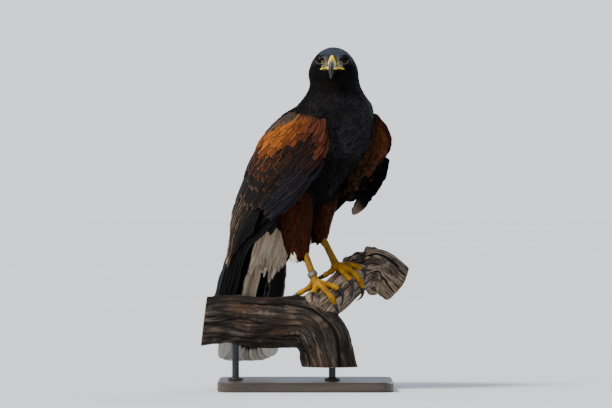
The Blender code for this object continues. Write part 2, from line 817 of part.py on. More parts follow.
def hem_locks(name, line, swell=0.0):
    """Loose tapered locks round the lower end of a thigh."""
    draw = random.Random(name)
    locks = []
    for k in range(HEM_LOCKS):
        angle = 2 * math.pi * (k + 0.3 * draw.random()) / HEM_LOCKS
        stop = 1.10 + draw.uniform(-0.05, 0.04) + 0.02 * swell
        outer, inner = [], []
        for b, half in ((0.0, 0.34), (0.45, 0.50), (0.82, 0.36), (1.0, 0.09)):
            lift = 1.3 * (k % 2) + 0.9 - 2.9 * (1 - ease(b / 0.45))
            place = 0.66 + (stop - 0.66) * b
            for turn in (angle - half - 0.06 * swell, angle + half + 0.06 * swell):
                outer.append(thigh_point(line, place, turn, lift + 0.9 + swell))
                inner.append(thigh_point(line, place, turn, lift - swell))
        locks.append(closed_sheet(f"{name} lock {k}", outer, inner, 4, 2))
    return locks


def grip(along, around, lift):
    """A point on the limb, in millimetres: along it, around it from its top, and off its bark."""
    start = Vector(GRIP_START)
    axis = (Vector(GRIP_END) - start).normalized()
    top = (Vector((0, 0, 1)) - axis * axis.z).normalized()
    front = Vector((math.sin(HEADING), -math.cos(HEADING), 0))
    front -= axis * front.dot(axis) + top * front.dot(top)
    angle = around / (GRIP_RADIUS + lift)
    out = top * math.cos(angle) + front.normalized() * math.sin(angle)
    return start + axis * along + out * (GRIP_RADIUS + lift)


def grip_place(foot):
    """Where on the limb a foot stands: along it, and off its bark."""
    start = Vector(GRIP_START)
    axis = (Vector(GRIP_END) - start).normalized()
    offset = to_world(foot) / MM - start
    along = offset.dot(axis)
    return along, (offset - axis * along).length - GRIP_RADIUS


def toe_lines(name, foot):
    """The middle lines of a toe and of its claw, as x, y, z, radius."""
    heading, bend, length, rise, claw, turn = TOES[name]
    along, lift = grip_place(foot)
    around, steps = 0.0, 36
    run = (length + claw) / steps
    toe, talon = [], []
    for k in range(steps + 1):
        f = min(k * run / length, 1.0)
        g = max((k * run - length) / claw, 0.0)
        low = TOE_RADIUS * 0.9
        height = low + (lift - low) * (1 - ease(f * 2.2)) + rise * f + 2.4 * math.sin(math.pi * g) - 2.6 * g
        spot = grip(along, around, max(height, 0.9)) * MM
        if g == 0:
            knuckle = 0.3 * math.cos(2 * math.pi * f * 2.5)
            toe.append((*spot, (TOE_RADIUS + 0.7 * (1 - f) + knuckle) * (1 - 0.1 * f) * MM))
        else:
            talon.append((*spot, (3.2 * (1 - g) ** 0.75 + 0.4) * MM))
        aim = math.radians(heading + bend * f + turn * g)
        along += math.sin(aim) * run
        around += math.cos(aim) * run
    return toe, talon


def build_leg(side, foot, hock, thigh, perch):
    """Tarsus and toes as one node, and a node for each claw."""
    ankle, ball_of_foot = to_world(hock), to_world(foot)
    shank = [
        (*ankle, (TARSUS_RADIUS + 0.6) * MM),
        (*ankle.lerp(ball_of_foot, 0.4), TARSUS_RADIUS * MM),
        (*ankle.lerp(ball_of_foot, 0.8), (TARSUS_RADIUS + 0.3) * MM),
        (*ball_of_foot, 6.6 * MM),
    ]
    leg = tube("leg_" + side, shank, 7, 10, Vector((0, 1, 0)))
    pad = ball("pad", ball_of_foot - Vector((0, 0, 0.002)), 7.6, 10, (1.1, 1.1, 0.85))
    toes, talons = [pad], []
    for name in [n for n in TOES if n.startswith(side)]:
        toe, talon = toe_lines(name, foot)
        toes.append(tube(name, toe, 9, 7, Vector((0, 0, 1))))
        talons.append(tube("claw_" + name, talon, 7, 7, Vector((0, 0, 1))))
    boolean(leg, "UNION", toes)
    boolean(leg, "DIFFERENCE", [grown(perch), grown(thigh)])
    for talon in talons:
        boolean(talon, "DIFFERENCE", [grown(leg), grown(perch)])
    return leg, talons


# Perch and stand


def bark_radius(angle, t, radius):
    """The weathered limb's radius round its line, with long ridges and hollows."""
    ridges = 0.035 * math.sin(3 * angle + 9 * t) + 0.03 * math.sin(5 * angle - 14 * t + 1.3)
    swell = 0.03 * math.sin(21 * t + 2 * math.cos(angle))
    return radius * (1 + ridges + swell)


def wood(name, line, count, sides):
    """A length of driftwood with a ridged skin."""
    metres = [(x * MM, y * MM, z * MM, r * MM) for x, y, z, r in line]
    rings = []
    for k in range(count):
        t = k / (count - 1)
        here = spline(metres, t)
        ahead = Vector(spline(metres, min(t + 0.02, 1))[:3]) - Vector(spline(metres, max(t - 0.02, 0))[:3])
        side = ahead.cross(Vector((0, -1, 0.3))).normalized()
        up = side.cross(ahead).normalized()
        made = []
        for i in range(sides):
            a = 2 * math.pi * i / sides
            out = side * math.cos(a) + up * math.sin(a)
            made.append(Vector(here[:3]) + out * bark_radius(a, t, here[3]))
        rings.append(made)
    return loft(name, rings)


def trim(obj, point, normal):
    """Cuts a closed mesh off flat at a plane."""
    made = bmesh.new()
    made.from_mesh(obj.data)
    geometry = made.verts[:] + made.edges[:] + made.faces[:]
    cut = bmesh.ops.bisect_plane(
        made, geom=geometry, dist=1e-6, plane_co=point, plane_no=normal, clear_outer=True
    )
    rim = [e for e in cut["geom_cut"] if isinstance(e, bmesh.types.BMEdge)]
    bmesh.ops.triangle_fill(made, edges=rim, use_beauty=True, use_dissolve=False)
    bmesh.ops.recalc_face_normals(made, faces=made.faces)
    made.to_mesh(obj.data)
    made.free()
    return obj


def build_perch():
    """A cut length of driftwood: a trunk that bends down, and a branch out of the crook for the feet."""
    pieces = [wood("trunk", TRUNK, 34, 36), wood("branch", BRANCH, 24, 32)]
    for x, y, z, r in ((78, 44, 171, 13), (98, 50, 192, 13), (-118, 8, 128, 9), (104, 36, 142, 8)):
        pieces.append(ball("knob", Vector((x, y, z)) * MM, r, 12, (1.1, 0.9, 1)))
    perch = blended("perch", pieces, 2.6, PERCH_TRIANGLES)
    for point, normal in PERCH_ENDS:
        trim(perch, Vector(point) * MM, Vector(normal).normalized())
    return keep_largest(perch)


def build_stand():
    """A flat base with rounded corners and two short rods up to the perch."""
    made = bmesh.new()
    bmesh.ops.create_cube(made, size=1)
    for vert in made.verts:
        vert.co.x = vert.co.x * BASE_SIZE[0] * MM + BASE_CENTRE[0] * MM
        vert.co.y = vert.co.y * BASE_SIZE[1] * MM + BASE_CENTRE[1] * MM
        vert.co.z = (vert.co.z + 0.5) * BASE_HEIGHT * MM
    upright = [e for e in made.edges if abs(e.verts[0].co.z - e.verts[1].co.z) > BASE_HEIGHT * MM / 2]
    bmesh.ops.bevel(made, geom=upright, offset=22 * MM, segments=5, profile=0.5, affect="EDGES")
    mesh = bpy.data.meshes.new("stand_base")
    made.to_mesh(mesh)
    made.free()
    base = bpy.data.objects.new("stand_base", mesh)
    PARTS.objects.link(base)
    soften = base.modifiers.new("Soften", "BEVEL")
    soften.width = 1.6 * MM
    soften.segments = 1
    soften.limit_method = "ANGLE"
    bake(base)
    rods = []
    for name, x, y, top in (("stand_rod_left", -92, -3, 90), ("stand_rod_right", 46, -15, 45)):
        foot = (BASE_HEIGHT + GAP) * MM
        line = [(x * MM, y * MM, foot, ROD_RADIUS * MM), (x * MM, y * MM, top * MM, ROD_RADIUS * MM)]
        rods.append(tube(name, line, 2, 16, Vector((0, 1, 0))))
    return base, rods


def build_band():
    """The plain ring round the right tarsus, with the folded seam that closes it."""
    low, high = to_world(FOOT_RIGHT), to_world(HOCK_RIGHT)
    middle = low.lerp(high, 0.15)
    axis = (high - low + Vector((-0.016, 0, 0.0))).normalized()
    side = axis.cross(Vector((0, 1, 0))).normalized()
    up = side.cross(axis).normalized()
    profile = ((6.1, -2.8), (7.1, -2.8), (7.1, 2.8), (6.1, 2.8))
    sides, count = 14, len(profile)
    points, faces = [], []
    for i in range(sides):
        a = 2 * math.pi * i / sides
        out = side * math.cos(a) + up * math.sin(a)
        points += [middle + (out * r + axis * h) * MM for r, h in profile]
        for k in range(count):
            j = (i + 1) % sides
            after = (k + 1) % count
            faces.append([i * count + k, i * count + after, j * count + after, j * count + k])
    return add_object("leg_band", points, faces)


def main():
    random.seed(5)
    torso, neck, head = build_body()
    eyes = build_eyes(head)
    cere, upper, lower = build_bill(head)
    thighs = []
    for name, line in THIGHS.items():
        thighs.append(thigh_body(name, line))
        boolean(thighs[-1], "DIFFERENCE", [grown(torso)])
    perch = build_perch()
    leg_right, claws_right = build_leg("right", FOOT_RIGHT, HOCK_RIGHT, thighs[0], perch)
    leg_left, claws_left = build_leg("left", FOOT_LEFT, HOCK_LEFT, thighs[1], perch)
    legs, claws = [leg_right, leg_left], claws_right + claws_left
    wings = [build_wing(-1, "wing_right"), build_wing(1, "wing_left")]
    tail = build_tail()
    boolean(tail, "DIFFERENCE", [grown(torso)])
    for wing, thigh, leg in zip(wings, thighs, legs):
        line = THIGHS[thigh.name]
        boolean(thigh, "UNION", hem_locks(thigh.name, line))
        boolean(thigh, "DIFFERENCE", [grown(leg)])
        clear = [thigh_body("clear", line, GAP), *hem_locks(thigh.name, line, GAP)]
        boolean(wing, "DIFFERENCE", [grown(torso), grown(neck), grown(tail), *clear])
    band = build_band()
    boolean(band, "DIFFERENCE", [grown(leg_right)])
    base, rods = build_stand()
    for rod in rods:
        boolean(rod, "DIFFERENCE", [grown(perch)])
    dark = material("dark plumage", (0.03, 0.024, 0.022), 0.8)
    rufous = material("rufous plumage", (0.2, 0.06, 0.02), 0.8)
    yellow = material("yellow skin", (0.75, 0.45, 0.03), 0.5)
    horn = material("horn", (0.03, 0.03, 0.04), 0.3)
    eye = material("eye", (0.05, 0.02, 0.008), 0.05)
    steel = material("band metal", (0.4, 0.4, 0.38), 0.4)
    timber = material("driftwood", (0.2, 0.15, 0.11), 0.9)
    board = material("stand", (0.05, 0.045, 0.04), 0.5)
    for surface, objects in (
        (dark, [torso, neck, head, tail, *wings]),
        (rufous, thighs),
        (yellow, [cere, *legs]),
        (horn, [upper, lower, *claws]),
        (eye, eyes),
        (steel, [band]),
        (timber, [perch]),
        (board, [base, *rods]),
    ):
        for obj in objects:
            paint(obj, surface)


for old in list(bpy.data.objects):
    bpy.data.objects.remove(old)
PARTS = bpy.data.collections.new("harris hawk")
bpy.context.scene.collection.children.link(PARTS)
main()
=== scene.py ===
"""The looks of the hawk, its driftwood perch and its display stand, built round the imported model.

As in the part's source, the bird is laid out in its own terms, in millimetres: u forward, v to its left
and z up from the floor. Meshes are made in metres, in the model's own frame.
"""

import math

import bmesh
import bpy
import numpy as np
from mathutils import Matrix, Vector
from mathutils.bvhtree import BVHTree
from mathutils.kdtree import KDTree

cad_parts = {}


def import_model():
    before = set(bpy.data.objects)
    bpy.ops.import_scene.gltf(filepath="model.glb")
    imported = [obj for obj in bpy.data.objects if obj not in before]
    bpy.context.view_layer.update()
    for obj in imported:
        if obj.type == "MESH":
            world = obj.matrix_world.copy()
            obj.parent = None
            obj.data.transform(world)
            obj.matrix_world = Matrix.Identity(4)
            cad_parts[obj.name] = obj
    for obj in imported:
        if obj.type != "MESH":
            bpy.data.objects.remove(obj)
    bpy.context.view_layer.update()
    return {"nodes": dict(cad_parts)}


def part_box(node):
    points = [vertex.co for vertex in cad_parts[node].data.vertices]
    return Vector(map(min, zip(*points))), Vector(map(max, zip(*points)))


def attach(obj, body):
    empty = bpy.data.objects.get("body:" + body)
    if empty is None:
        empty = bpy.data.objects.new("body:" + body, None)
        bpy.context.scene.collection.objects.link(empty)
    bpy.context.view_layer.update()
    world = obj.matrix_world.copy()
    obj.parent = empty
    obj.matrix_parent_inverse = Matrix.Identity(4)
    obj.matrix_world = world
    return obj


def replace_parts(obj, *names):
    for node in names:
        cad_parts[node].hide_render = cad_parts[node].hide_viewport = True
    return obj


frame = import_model()
NODES = frame["nodes"]
MM = 0.001
DRAW = np.random.default_rng(23)

# The bird's stance, as in the solids
HEADING = math.radians(42)
FEET_MID = (34, 0, 0)
HEAD_TURN = math.radians(-4)
HEAD_PITCH = math.radians(6)
HEAD_CENTRE = (32, -10.5, 452)
EYES = {1: (15.1, 22.5, 19.4), -1: (-16.1, 22.5, 19.4)}
EYE_RADIUS = 7.2
BILL_BASE = (0, 38, 14)
# The gape from the bill outwards: distance from the middle, height, radius
GAPE = [(4.2, 9.4, 1.7), (7.0, 9.8, 1.9), (10.0, 9.6, 1.8), (13.0, 8.8, 1.5), (15.6, 7.6, 1.15), (17.2, 6.8, 0.6)]
GAPE_DEPTHS = [40.0] * len(GAPE)

# The line that the body feathers follow, from the crown to the vent
LIE_STEPS = 90
LIE_LINE = [
    (60, -12, 478),
    (36, -10, 486),
    (18, -10, 468),
    (22, -9, 432),
    (22, -3, 402),
    (14, 2, 378),
    (0, 2, 355),
    (-28, 0, 328),
    (-60, 0, 292),
    (-90, 0, 258),
    (-118, 0, 222),
]

# Folded wings: leading and trailing edges from the wrist to the tip, u, v outward, z
LEADING_EDGE = [
    (62, 53, 388),
    (77, 62, 353),
    (64, 67, 322),
    (38, 70, 296),
    (8, 71, 270),
    (-30, 71, 244),
    (-62, 70, 224),
    (-88, 70, 206),
    (-104, 70, 180),
    (-114, 73, 146),
    (-128, 76, 108),
]
TRAILING_EDGE = [
    (2, 46, 399),
    (-34, 48, 387),
    (-72, 49, 365),
    (-96, 48, 340),
    (-116, 45, 318),
    (-131, 43, 294),
    (-144, 43, 265),
    (-150, 47, 234),
    (-149, 54, 200),
    (-152, 63, 162),
    (-152, 75, 116),
]
LEFT_LEADING_EDGE = [
    (62, 53, 388),
    (75, 61, 353),
    (52, 62, 322),
    (18, 57, 296),
    (-14, 55, 273),
    (-45, 53, 249),
    (-78, 49, 220),
    (-108, 44, 192),
    (-129, 38, 168),
    (-146, 34, 140),
    (-156, 31, 110),
]
LEFT_TRAILING_EDGE = [
    (2, 46, 399),
    (-34, 48, 387),
    (-72, 49, 365),
    (-96, 48, 340),
    (-116, 45, 318),
    (-131, 42, 294),
    (-146, 38, 265),
    (-157, 33, 234),
    (-163, 26, 200),
    (-168, 20, 162),
    (-171, 17, 120),
]
WING_BULGE = 13
# How far along the wing the feathered arm reaches
ARM_END = 0.42
# The arm's height over and depth under the wing's surface: place, height, depth
ARM_PROFILE = [
    (0.0, -1.5, 3.0),
    (0.03, 3.2, 7.0),
    (0.08, 3.6, 10.0),
    (0.19, 0.8, 10.5),
    (0.27, 0.2, 11.0),
    (0.35, -3.4, 11.5),
    (0.42, -5.0, 11.0),
]

# Tail: its middle line, its length, and the rump as place, height, half width and depth
TAIL_LINE = [(-98, 0, 238), (-139, 0, 150), (-164, -4, 37)]
TAIL_RUN = 215
RUMP = [(0.0, -6, 26, 13), (0.12, -7, 33, 14), (0.28, -7, 31, 11), (0.44, -5, 22, 5)]

# Linear colours
# The crown's slate tone and blue-grey rims below are a painted highlight on the top of the head
CROWN_HIGHLIGHT = (0.031, 0.037, 0.057)
CROWN_HIGHLIGHT_RIM = (0.125, 0.150, 0.225)
SOOT = (0.0026, 0.0024, 0.0026)
BROWN_BLACK = (0.010, 0.0066, 0.0046)
RUFOUS = (0.098, 0.026, 0.0055)
# Bright rufous for the arm's rims, and for painted light on the upper edge of the shoulder
RUFOUS_BRIGHT = (0.30, 0.090, 0.0085)
# Dull reddish brown of the shoulder's front, made darker with painted shade
RUFOUS_DULL_SHADED = (0.046, 0.013, 0.0065)
CHESTNUT = (0.031, 0.0082, 0.0028)
TAN = (0.17, 0.095, 0.052)
SCAPULAR = (0.020, 0.0155, 0.0135)
CREAM = (0.64, 0.49, 0.335)
WHITE = (0.78, 0.72, 0.63)


# Curves and frames


def curve(points, t):
    """A Catmull-Rom curve through points at an array of places from 0 to 1, straight beyond its ends."""
    p = np.asarray(points, float)
    last = len(p) - 1
    t = np.asarray(t, float)
    place = np.clip(t, 0, 1) * last
    i = np.minimum(place.astype(int), last - 1)
    f = (place - i)[..., None]
    a, b, c, d = (p[np.clip(i + k, 0, last)] for k in (-1, 0, 1, 2))
    bend = 2 * b + (c - a) * f + (2 * a - 5 * b + 4 * c - d) * f**2 + (3 * b - a - 3 * c + d) * f**3
    before = np.minimum(t, 0)[..., None] * last
    beyond = np.maximum(t - 1, 0)[..., None] * last
    return bend / 2 + (p[1] - p[0]) * before + (p[-1] - p[-2]) * beyond


def ease(f):
    f = np.clip(f, 0, 1)
    return f * f * (3 - 2 * f)


def circle(count):
    """Angles evenly round a circle."""
    return np.linspace(0, 2 * math.pi, count, endpoint=False)


def unit(v):
    return v / np.maximum(np.linalg.norm(v, axis=-1, keepdims=True), 1e-9)


def world(p):
    """Points of the bird, in millimetres, as points of the model in metres."""
    p = np.asarray(p, float)
    u, v, z = p[..., 0], p[..., 1], p[..., 2]
    x = FEET_MID[0] + u * math.sin(HEADING) + v * math.cos(HEADING)
    y = FEET_MID[1] - u * math.cos(HEADING) + v * math.sin(HEADING)
    return np.stack([x, y, z], -1) * MM


def bird_direction(d):
    """Directions of the model as directions of the bird."""
    x, y, z = d[..., 0], d[..., 1], d[..., 2]
    ahead = x * math.sin(HEADING) - y * math.cos(HEADING)
    return np.stack([ahead, x * math.cos(HEADING) + y * math.sin(HEADING), z], -1)


def bird(p):
    """Points of the model as points of the bird."""
    return bird_direction(np.asarray(p, float) / MM - FEET_MID)


AXIS_U = np.array([math.sin(HEADING), -math.cos(HEADING), 0.0])
AXIS_V = np.array([math.cos(HEADING), math.sin(HEADING), 0.0])
AXIS_X, AXIS_Y, AXIS_Z = np.eye(3)


def model_direction(d):
    """Directions of the bird as directions of the model."""
    return d[..., :1] * AXIS_U + d[..., 1:2] * AXIS_V + d[..., 2:3] * AXIS_Z


def head_axes():
    """The head's left, forward and up as directions of the model."""
    (c, s), (d, q) = ((math.cos(a), math.sin(a)) for a in (HEAD_TURN, HEAD_PITCH))
    both = np.array([[c, -s, 0], [s, c, 0], [0, 0, 1]]) @ np.array([[1, 0, 0], [0, d, -q], [0, q, d]])
    return both[:, 0], -both[:, 1], both[:, 2]


HEAD_LEFT, HEAD_FORWARD, HEAD_UP = head_axes()


def head_world(p):
    """Points of the head's own frame (left, forward, up, in millimetres) as points of the model."""
    p = np.asarray(p, float)
    offset = p[..., :1] * HEAD_LEFT + p[..., 1:2] * HEAD_FORWARD + p[..., 2:3] * HEAD_UP
    return world(HEAD_CENTRE) + offset * MM


def head_local(p):
    """Points of the model in the head's own frame, in millimetres."""
    offset = (np.asarray(p, float) - world(HEAD_CENTRE)) / MM
    return np.stack([offset @ HEAD_LEFT, offset @ HEAD_FORWARD, offset @ HEAD_UP], -1)


# Meshes


def read_points(mesh, key="co"):
    """A mesh's points, or its normals, as an array (n, 3)."""
    values = np.zeros(len(mesh.vertices) * 3, np.float32)
    mesh.vertices.foreach_get(key, values)
    return values.reshape(-1, 3)


def move_points(mesh, places):
    """Moves a mesh's points to new places."""
    mesh.vertices.foreach_set("co", np.ascontiguousarray(places, np.float32).ravel())
    mesh.update()


def store(mesh, label, values):
    """Keeps a number or a vector for each point of a mesh."""
    values = np.ascontiguousarray(values, np.float32)
    if values.ndim == 1:
        mesh.attributes.new(label, "FLOAT", "POINT").data.foreach_set("value", values)
    else:
        mesh.attributes.new(label, "FLOAT_VECTOR", "POINT").data.foreach_set("vector", values.ravel())


def add_object(name, mesh):
    obj = bpy.data.objects.new(name, mesh)
    bpy.context.scene.collection.objects.link(obj)
    return obj


def add_piece(name, mesh, surface):
    """A smooth piece that stays with the model."""
    mesh.shade_smooth()
    mesh.materials.append(surface)
    obj = add_object(name, mesh)
    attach(obj, "root")
    return obj


def fix_normals(obj):
    """Turns every face of a closed mesh outward."""
    made = bmesh.new()
    made.from_mesh(obj.data)
    bmesh.ops.recalc_face_normals(made, faces=made.faces)
    made.to_mesh(obj.data)
    made.free()


def make_object(name, points, faces, surface, attributes=None, patches=None):
    """A smooth mesh from arrays: points (n, 3) in metres and faces (m, 4) or (m, 3)."""
    mesh = bpy.data.meshes.new(name)
    points = np.ascontiguousarray(points, np.float32)
    faces = np.ascontiguousarray(faces, np.int32)
    mesh.vertices.add(len(points))
    mesh.vertices.foreach_set("co", points.ravel())
    mesh.loops.add(faces.size)
    mesh.loops.foreach_set("vertex_index", faces.ravel())
    mesh.polygons.add(len(faces))
    mesh.polygons.foreach_set("loop_start", np.arange(0, faces.size, faces.shape[1], dtype=np.int32))
    mesh.update(calc_edges=True)
    mesh.validate()
    for label, values in (attributes or {}).items():
        store(mesh, label, values)
    if patches is not None:
        layer = mesh.uv_layers.new(name="OFBake")
        layer.data.foreach_set("uv", np.ascontiguousarray(patches[faces.ravel()], np.float32).ravel())
    return add_piece(name, mesh, surface)


def quads_of(index):
    """Quads between the rows and columns of a grid of numbered points."""
    return np.stack([index[:-1, :-1], index[:-1, 1:], index[1:, 1:], index[1:, :-1]], -1).reshape(-1, 4)


def grid_faces(rows, columns, wrap=False):
    """Quads of a grid of points, the columns joined round if wrap is set."""
    index = np.arange(rows * columns).reshape(rows, columns)
    if wrap:
        index = np.concatenate([index, index[:, :1]], 1)
    return quads_of(index)


def vane_faces(rows, columns):
    """Quads of one thin closed vane: an upper grid and a lower one that share their rim."""
    upper = np.arange(rows * columns).reshape(rows, columns)
    lower = upper.copy()
    inner = (rows - 2) * (columns - 2)
    lower[1:-1, 1:-1] = rows * columns + np.arange(inner).reshape(rows - 2, columns - 2)
    return np.concatenate([quads_of(upper), quads_of(lower)[:, ::-1]])


def tube_arrays(rings):
    """Points and faces of a capped tube."""
    rows, sides = rings.shape[:2]
    points = np.concatenate([rings.reshape(-1, 3), rings[:1].mean(1), rings[-1:].mean(1)])
    faces = [list(q) for q in grid_faces(rows, sides, wrap=True)]
    for i in range(sides):
        j = (i + 1) % sides
        faces.append([rows * sides, j, i])
        faces.append([rows * sides + 1, (rows - 1) * sides + i, (rows - 1) * sides + j])
    return points, faces


def mesh_from(name, points, faces):
    mesh = bpy.data.meshes.new(name)
    mesh.from_pydata([tuple(q) for q in points], [], [[int(i) for i in face] for face in faces])
    return mesh


def capped_tube(name, rings, surface):
    """A closed smooth tube through rings of points (rows, sides, 3)."""
    obj = add_piece(name, mesh_from(name, *tube_arrays(rings)), surface)
    fix_normals(obj)
    return obj


def ring_object(name, rings, surface, attributes=None):
    """A closed ring of rows of points, the last row joined to the first."""
    rows, sides = rings.shape[:2]
    first = np.arange(sides)
    last = first + (rows - 1) * sides
    closing = np.stack([last, np.roll(last, -1), np.roll(first, -1), first], -1)
    faces = np.concatenate([grid_faces(rows, sides, wrap=True), closing])
    obj = make_object(name, rings.reshape(-1, 3), faces, surface, attributes)
    fix_normals(obj)
    return obj


def turned(middle, profile, side, up, axis, sides):
    """Rows of points round an axis; the profile is radii and heights in millimetres."""
    turns = circle(sides)
    out = side * np.cos(turns)[:, None] + up * np.sin(turns)[:, None]
    return np.stack([middle + (out * r + axis * h) * MM for r, h in profile])


def globe(rows, sides, gap=0.0):
    """Rings of points over a ball of radius one."""
    turn = np.linspace(gap, math.pi - gap, rows)[:, None, None]
    lon = circle(sides)[None, :, None]
    around = [np.cos(lon) * np.sin(turn), np.sin(lon) * np.sin(turn)]
    return np.concatenate([*around, np.cos(turn) + 0 * lon], -1)


def vanes(name, points, normals, thick, surface, tone, rim, barbs, across, along, roots, patch=0.003):
    """Many vanes as one mesh.

    points and normals are (n, rows, columns, 3), tone and rim are colours (n, 3) or for each point,
    barbs is a length along the vane in millimetres, and roots (n, 2) are their places on the skin's unwrap."""
    count, rows, columns = points.shape[:3]
    lower = (points - normals * thick)[:, 1:-1, 1:-1].reshape(count, -1, 3)
    every = np.concatenate([points.reshape(count, -1, 3), lower], 1)
    size = every.shape[1]
    faces = (vane_faces(rows, columns)[None] + (np.arange(count) * size)[:, None, None]).reshape(-1, 4)
    flip = np.cross(points[:, 0, -1] - points[:, 0, 0], points[:, 1, 0] - points[:, 0, 0])
    if (flip * normals[:, 0, 0]).sum(-1).mean() < 0:
        faces = faces[:, ::-1]

    def spread(value, width):
        value = np.asarray(value, float)
        if value.ndim == 2 and width > 1:
            value = value[:, None, None, :]
        value = np.broadcast_to(value if width > 1 else value[..., None], (count, rows, columns, width))
        inner = value[:, 1:-1, 1:-1].reshape(count, -1, width)
        return np.concatenate([value.reshape(count, -1, width), inner], 1).reshape(-1, width)

    across = np.broadcast_to(across, (count, rows, columns))
    along = np.broadcast_to(along, (count, rows, columns))
    chance = np.broadcast_to(DRAW.random(count)[:, None, None], (count, rows, columns))
    place = spread(np.stack([across, along, chance], -1), 3)
    uv = np.repeat(roots, size, axis=0) + (place[:, :2] * (0.5, 1) - (0, 0.5)) * patch
    attributes = {
        "tone": spread(tone, 3),
        "rim": spread(rim, 3),
        "place": place,
        "barbs": spread(barbs, 1)[:, 0],
    }
    return make_object(name, every.reshape(-1, 3), faces, surface, attributes, uv)


# Materials


def add_node(tree, kind, links=None, **settings):
    """A node with its settings, and its inputs linked or set by name or number."""
    node = tree.nodes.new(kind)
    for key, value in settings.items():
        setattr(node, key, value)
    for key, value in (links or {}).items():
        socket = node.inputs[key]
        if isinstance(value, bpy.types.NodeSocket):
            tree.links.new(value, socket)
        else:
            socket.default_value = value
    return node


def new_material(name, **values):
    """A material, its node tree and its Principled shader with sockets set by name."""
    made = bpy.data.materials.new(name)
    made.use_nodes = True
    tree = made.node_tree
    shader = tree.nodes["Principled BSDF"]
    for key, value in values.items():
        shader.inputs[key.replace("_", " ")].default_value = value
    return made, tree, shader


def maths(tree, operation, a, b=None, clamp=False):
    links = {0: a} if b is None else {0: a, 1: b}
    return add_node(tree, "ShaderNodeMath", links, operation=operation, use_clamp=clamp).outputs[0]


def blend(tree, factor, a, b, kind="MIX"):
    node = add_node(tree, "ShaderNodeMix", {}, data_type="RGBA", blend_type=kind)
    for socket, value in zip((node.inputs[0], node.inputs[6], node.inputs[7]), (factor, a, b)):
        if isinstance(value, bpy.types.NodeSocket):
            tree.links.new(value, socket)
        elif isinstance(value, (int, float)):
            socket.default_value = value
        else:
            socket.default_value = (*value, 1)
    return node.outputs[2]


def span(tree, value, low, high, to_low=0.0, to_high=1.0):
    """Maps a value from one range to another, smoothly and clamped."""
    links = {"Value": value, "From Min": low, "From Max": high, "To Min": to_low, "To Max": to_high}
    return add_node(tree, "ShaderNodeMapRange", links, interpolation_type="SMOOTHSTEP").outputs[0]


def tinted(tree, value, limits, a, b):
    """Blends from a to b as a value passes through its limits."""
    return blend(tree, span(tree, value, *limits), a, b)


def noise(tree, scale, detail=2.0, vector=None, rough=0.5):
    links = {"Scale": scale, "Detail": detail, "Roughness": rough}
    if vector is not None:
        links["Vector"] = vector
    return add_node(tree, "ShaderNodeTexNoise", links).outputs["Fac"]


def attribute(tree, name, output="Fac"):
    return add_node(tree, "ShaderNodeAttribute", attribute_name=name).outputs[output]


def vector_maths(tree, operation, a, b):
    """A number worked out from a vector and a fixed one."""
    return add_node(tree, "ShaderNodeVectorMath", {0: a, 1: tuple(b)}, operation=operation).outputs["Value"]


def stretched(tree, place, scale):
    return add_node(tree, "ShaderNodeMapping", {"Vector": place, "Scale": scale}).outputs[0]


def combined(tree, *parts):
    return add_node(tree, "ShaderNodeCombineXYZ", dict(enumerate(parts))).outputs[0]


def object_place(tree):
    return add_node(tree, "ShaderNodeTexCoord").outputs["Object"]


def dress(tree, shader, colour, height=None, strength=1.0, distance=0.001):
    """Gives a shader its colour and, from a height, its relief."""
    tree.links.new(colour, shader.inputs["Base Color"])
    if height is not None:
        links = {"Height": height, "Strength": strength, "Distance": distance}
        tree.links.new(add_node(tree, "ShaderNodeBump", links).outputs[0], shader.inputs["Normal"])


def plumage_material(name, barb_pitch, rim_start, shaft, roughness=0.62, sheen=0.0, tip_start=0.9):
    """Feather vanes: their own colour, a worn rim, a darker shaft and fine barbs at a slant."""
    made, tree, shader = new_material(
        name, Roughness=roughness, Sheen_Weight=sheen, Sheen_Roughness=0.45, Specular_IOR_Level=0.1, IOR=1.25
    )
    tone = attribute(tree, "tone", "Vector")
    rim = attribute(tree, "rim", "Vector")
    place = attribute(tree, "place", "Vector")
    length = attribute(tree, "barbs")
    parts = add_node(tree, "ShaderNodeSeparateXYZ", {0: place}).outputs
    side = maths(tree, "ABSOLUTE", parts[0])
    edge = span(tree, side, rim_start, 0.98)
    tip = span(tree, parts[1], tip_start, 0.985)
    where = object_place(tree)
    cloud = noise(tree, 130.0, 3.0, where)
    edge = maths(tree, "MULTIPLY", maths(tree, "MAXIMUM", edge, tip), span(tree, cloud, 0.3, 0.62, 0.35, 1.0))
    colour = blend(tree, edge, tone, rim)
    colour = tinted(tree, side, (0.05, 0.0, 0.0, 0.75), colour, blend(tree, 1.0, colour, shaft, "MULTIPLY"))
    each = span(tree, parts[2], 0.0, 1.0, 0.72, 1.28)
    streak = noise(tree, 5.0, 2.0, combined(tree, maths(tree, "MULTIPLY", length, 1.1), parts[2]))
    shade = maths(tree, "MULTIPLY", each, span(tree, streak, 0.25, 0.75, 0.72, 1.25))
    colour = blend(tree, 1.0, colour, combined(tree, shade, shade, shade), "MULTIPLY")
    wave = maths(tree, "SINE", maths(tree, "MULTIPLY", length, 2 * math.pi / barb_pitch))
    lumps = maths(tree, "ADD", maths(tree, "MULTIPLY", wave, 0.5), maths(tree, "MULTIPLY", cloud, 1.4))
    dress(tree, shader, colour, lumps, 0.35, 0.0003)
    return made


# The skin: one soft surface under every body feather


def wing_patch(side, t, c, tucked=True):
    """Points on a wing: t from wrist to tip, c from leading to trailing edge; side is -1 on the right."""
    edges = (LEFT_LEADING_EDGE, LEFT_TRAILING_EDGE) if side > 0 and tucked else (LEADING_EDGE, TRAILING_EDGE)
    t, c = np.broadcast_arrays(np.asarray(t, float), np.asarray(c, float))
    made = curve(edges[0], t) * (1 - c[..., None]) + curve(edges[1], t) * c[..., None]
    arch = np.maximum(1 - (2 * c - 1) ** 2, -0.3)
    made[..., 1] += WING_BULGE * arch * (1 - 0.75 * ease(t / 0.9))
    made[..., 1] *= side
    return made


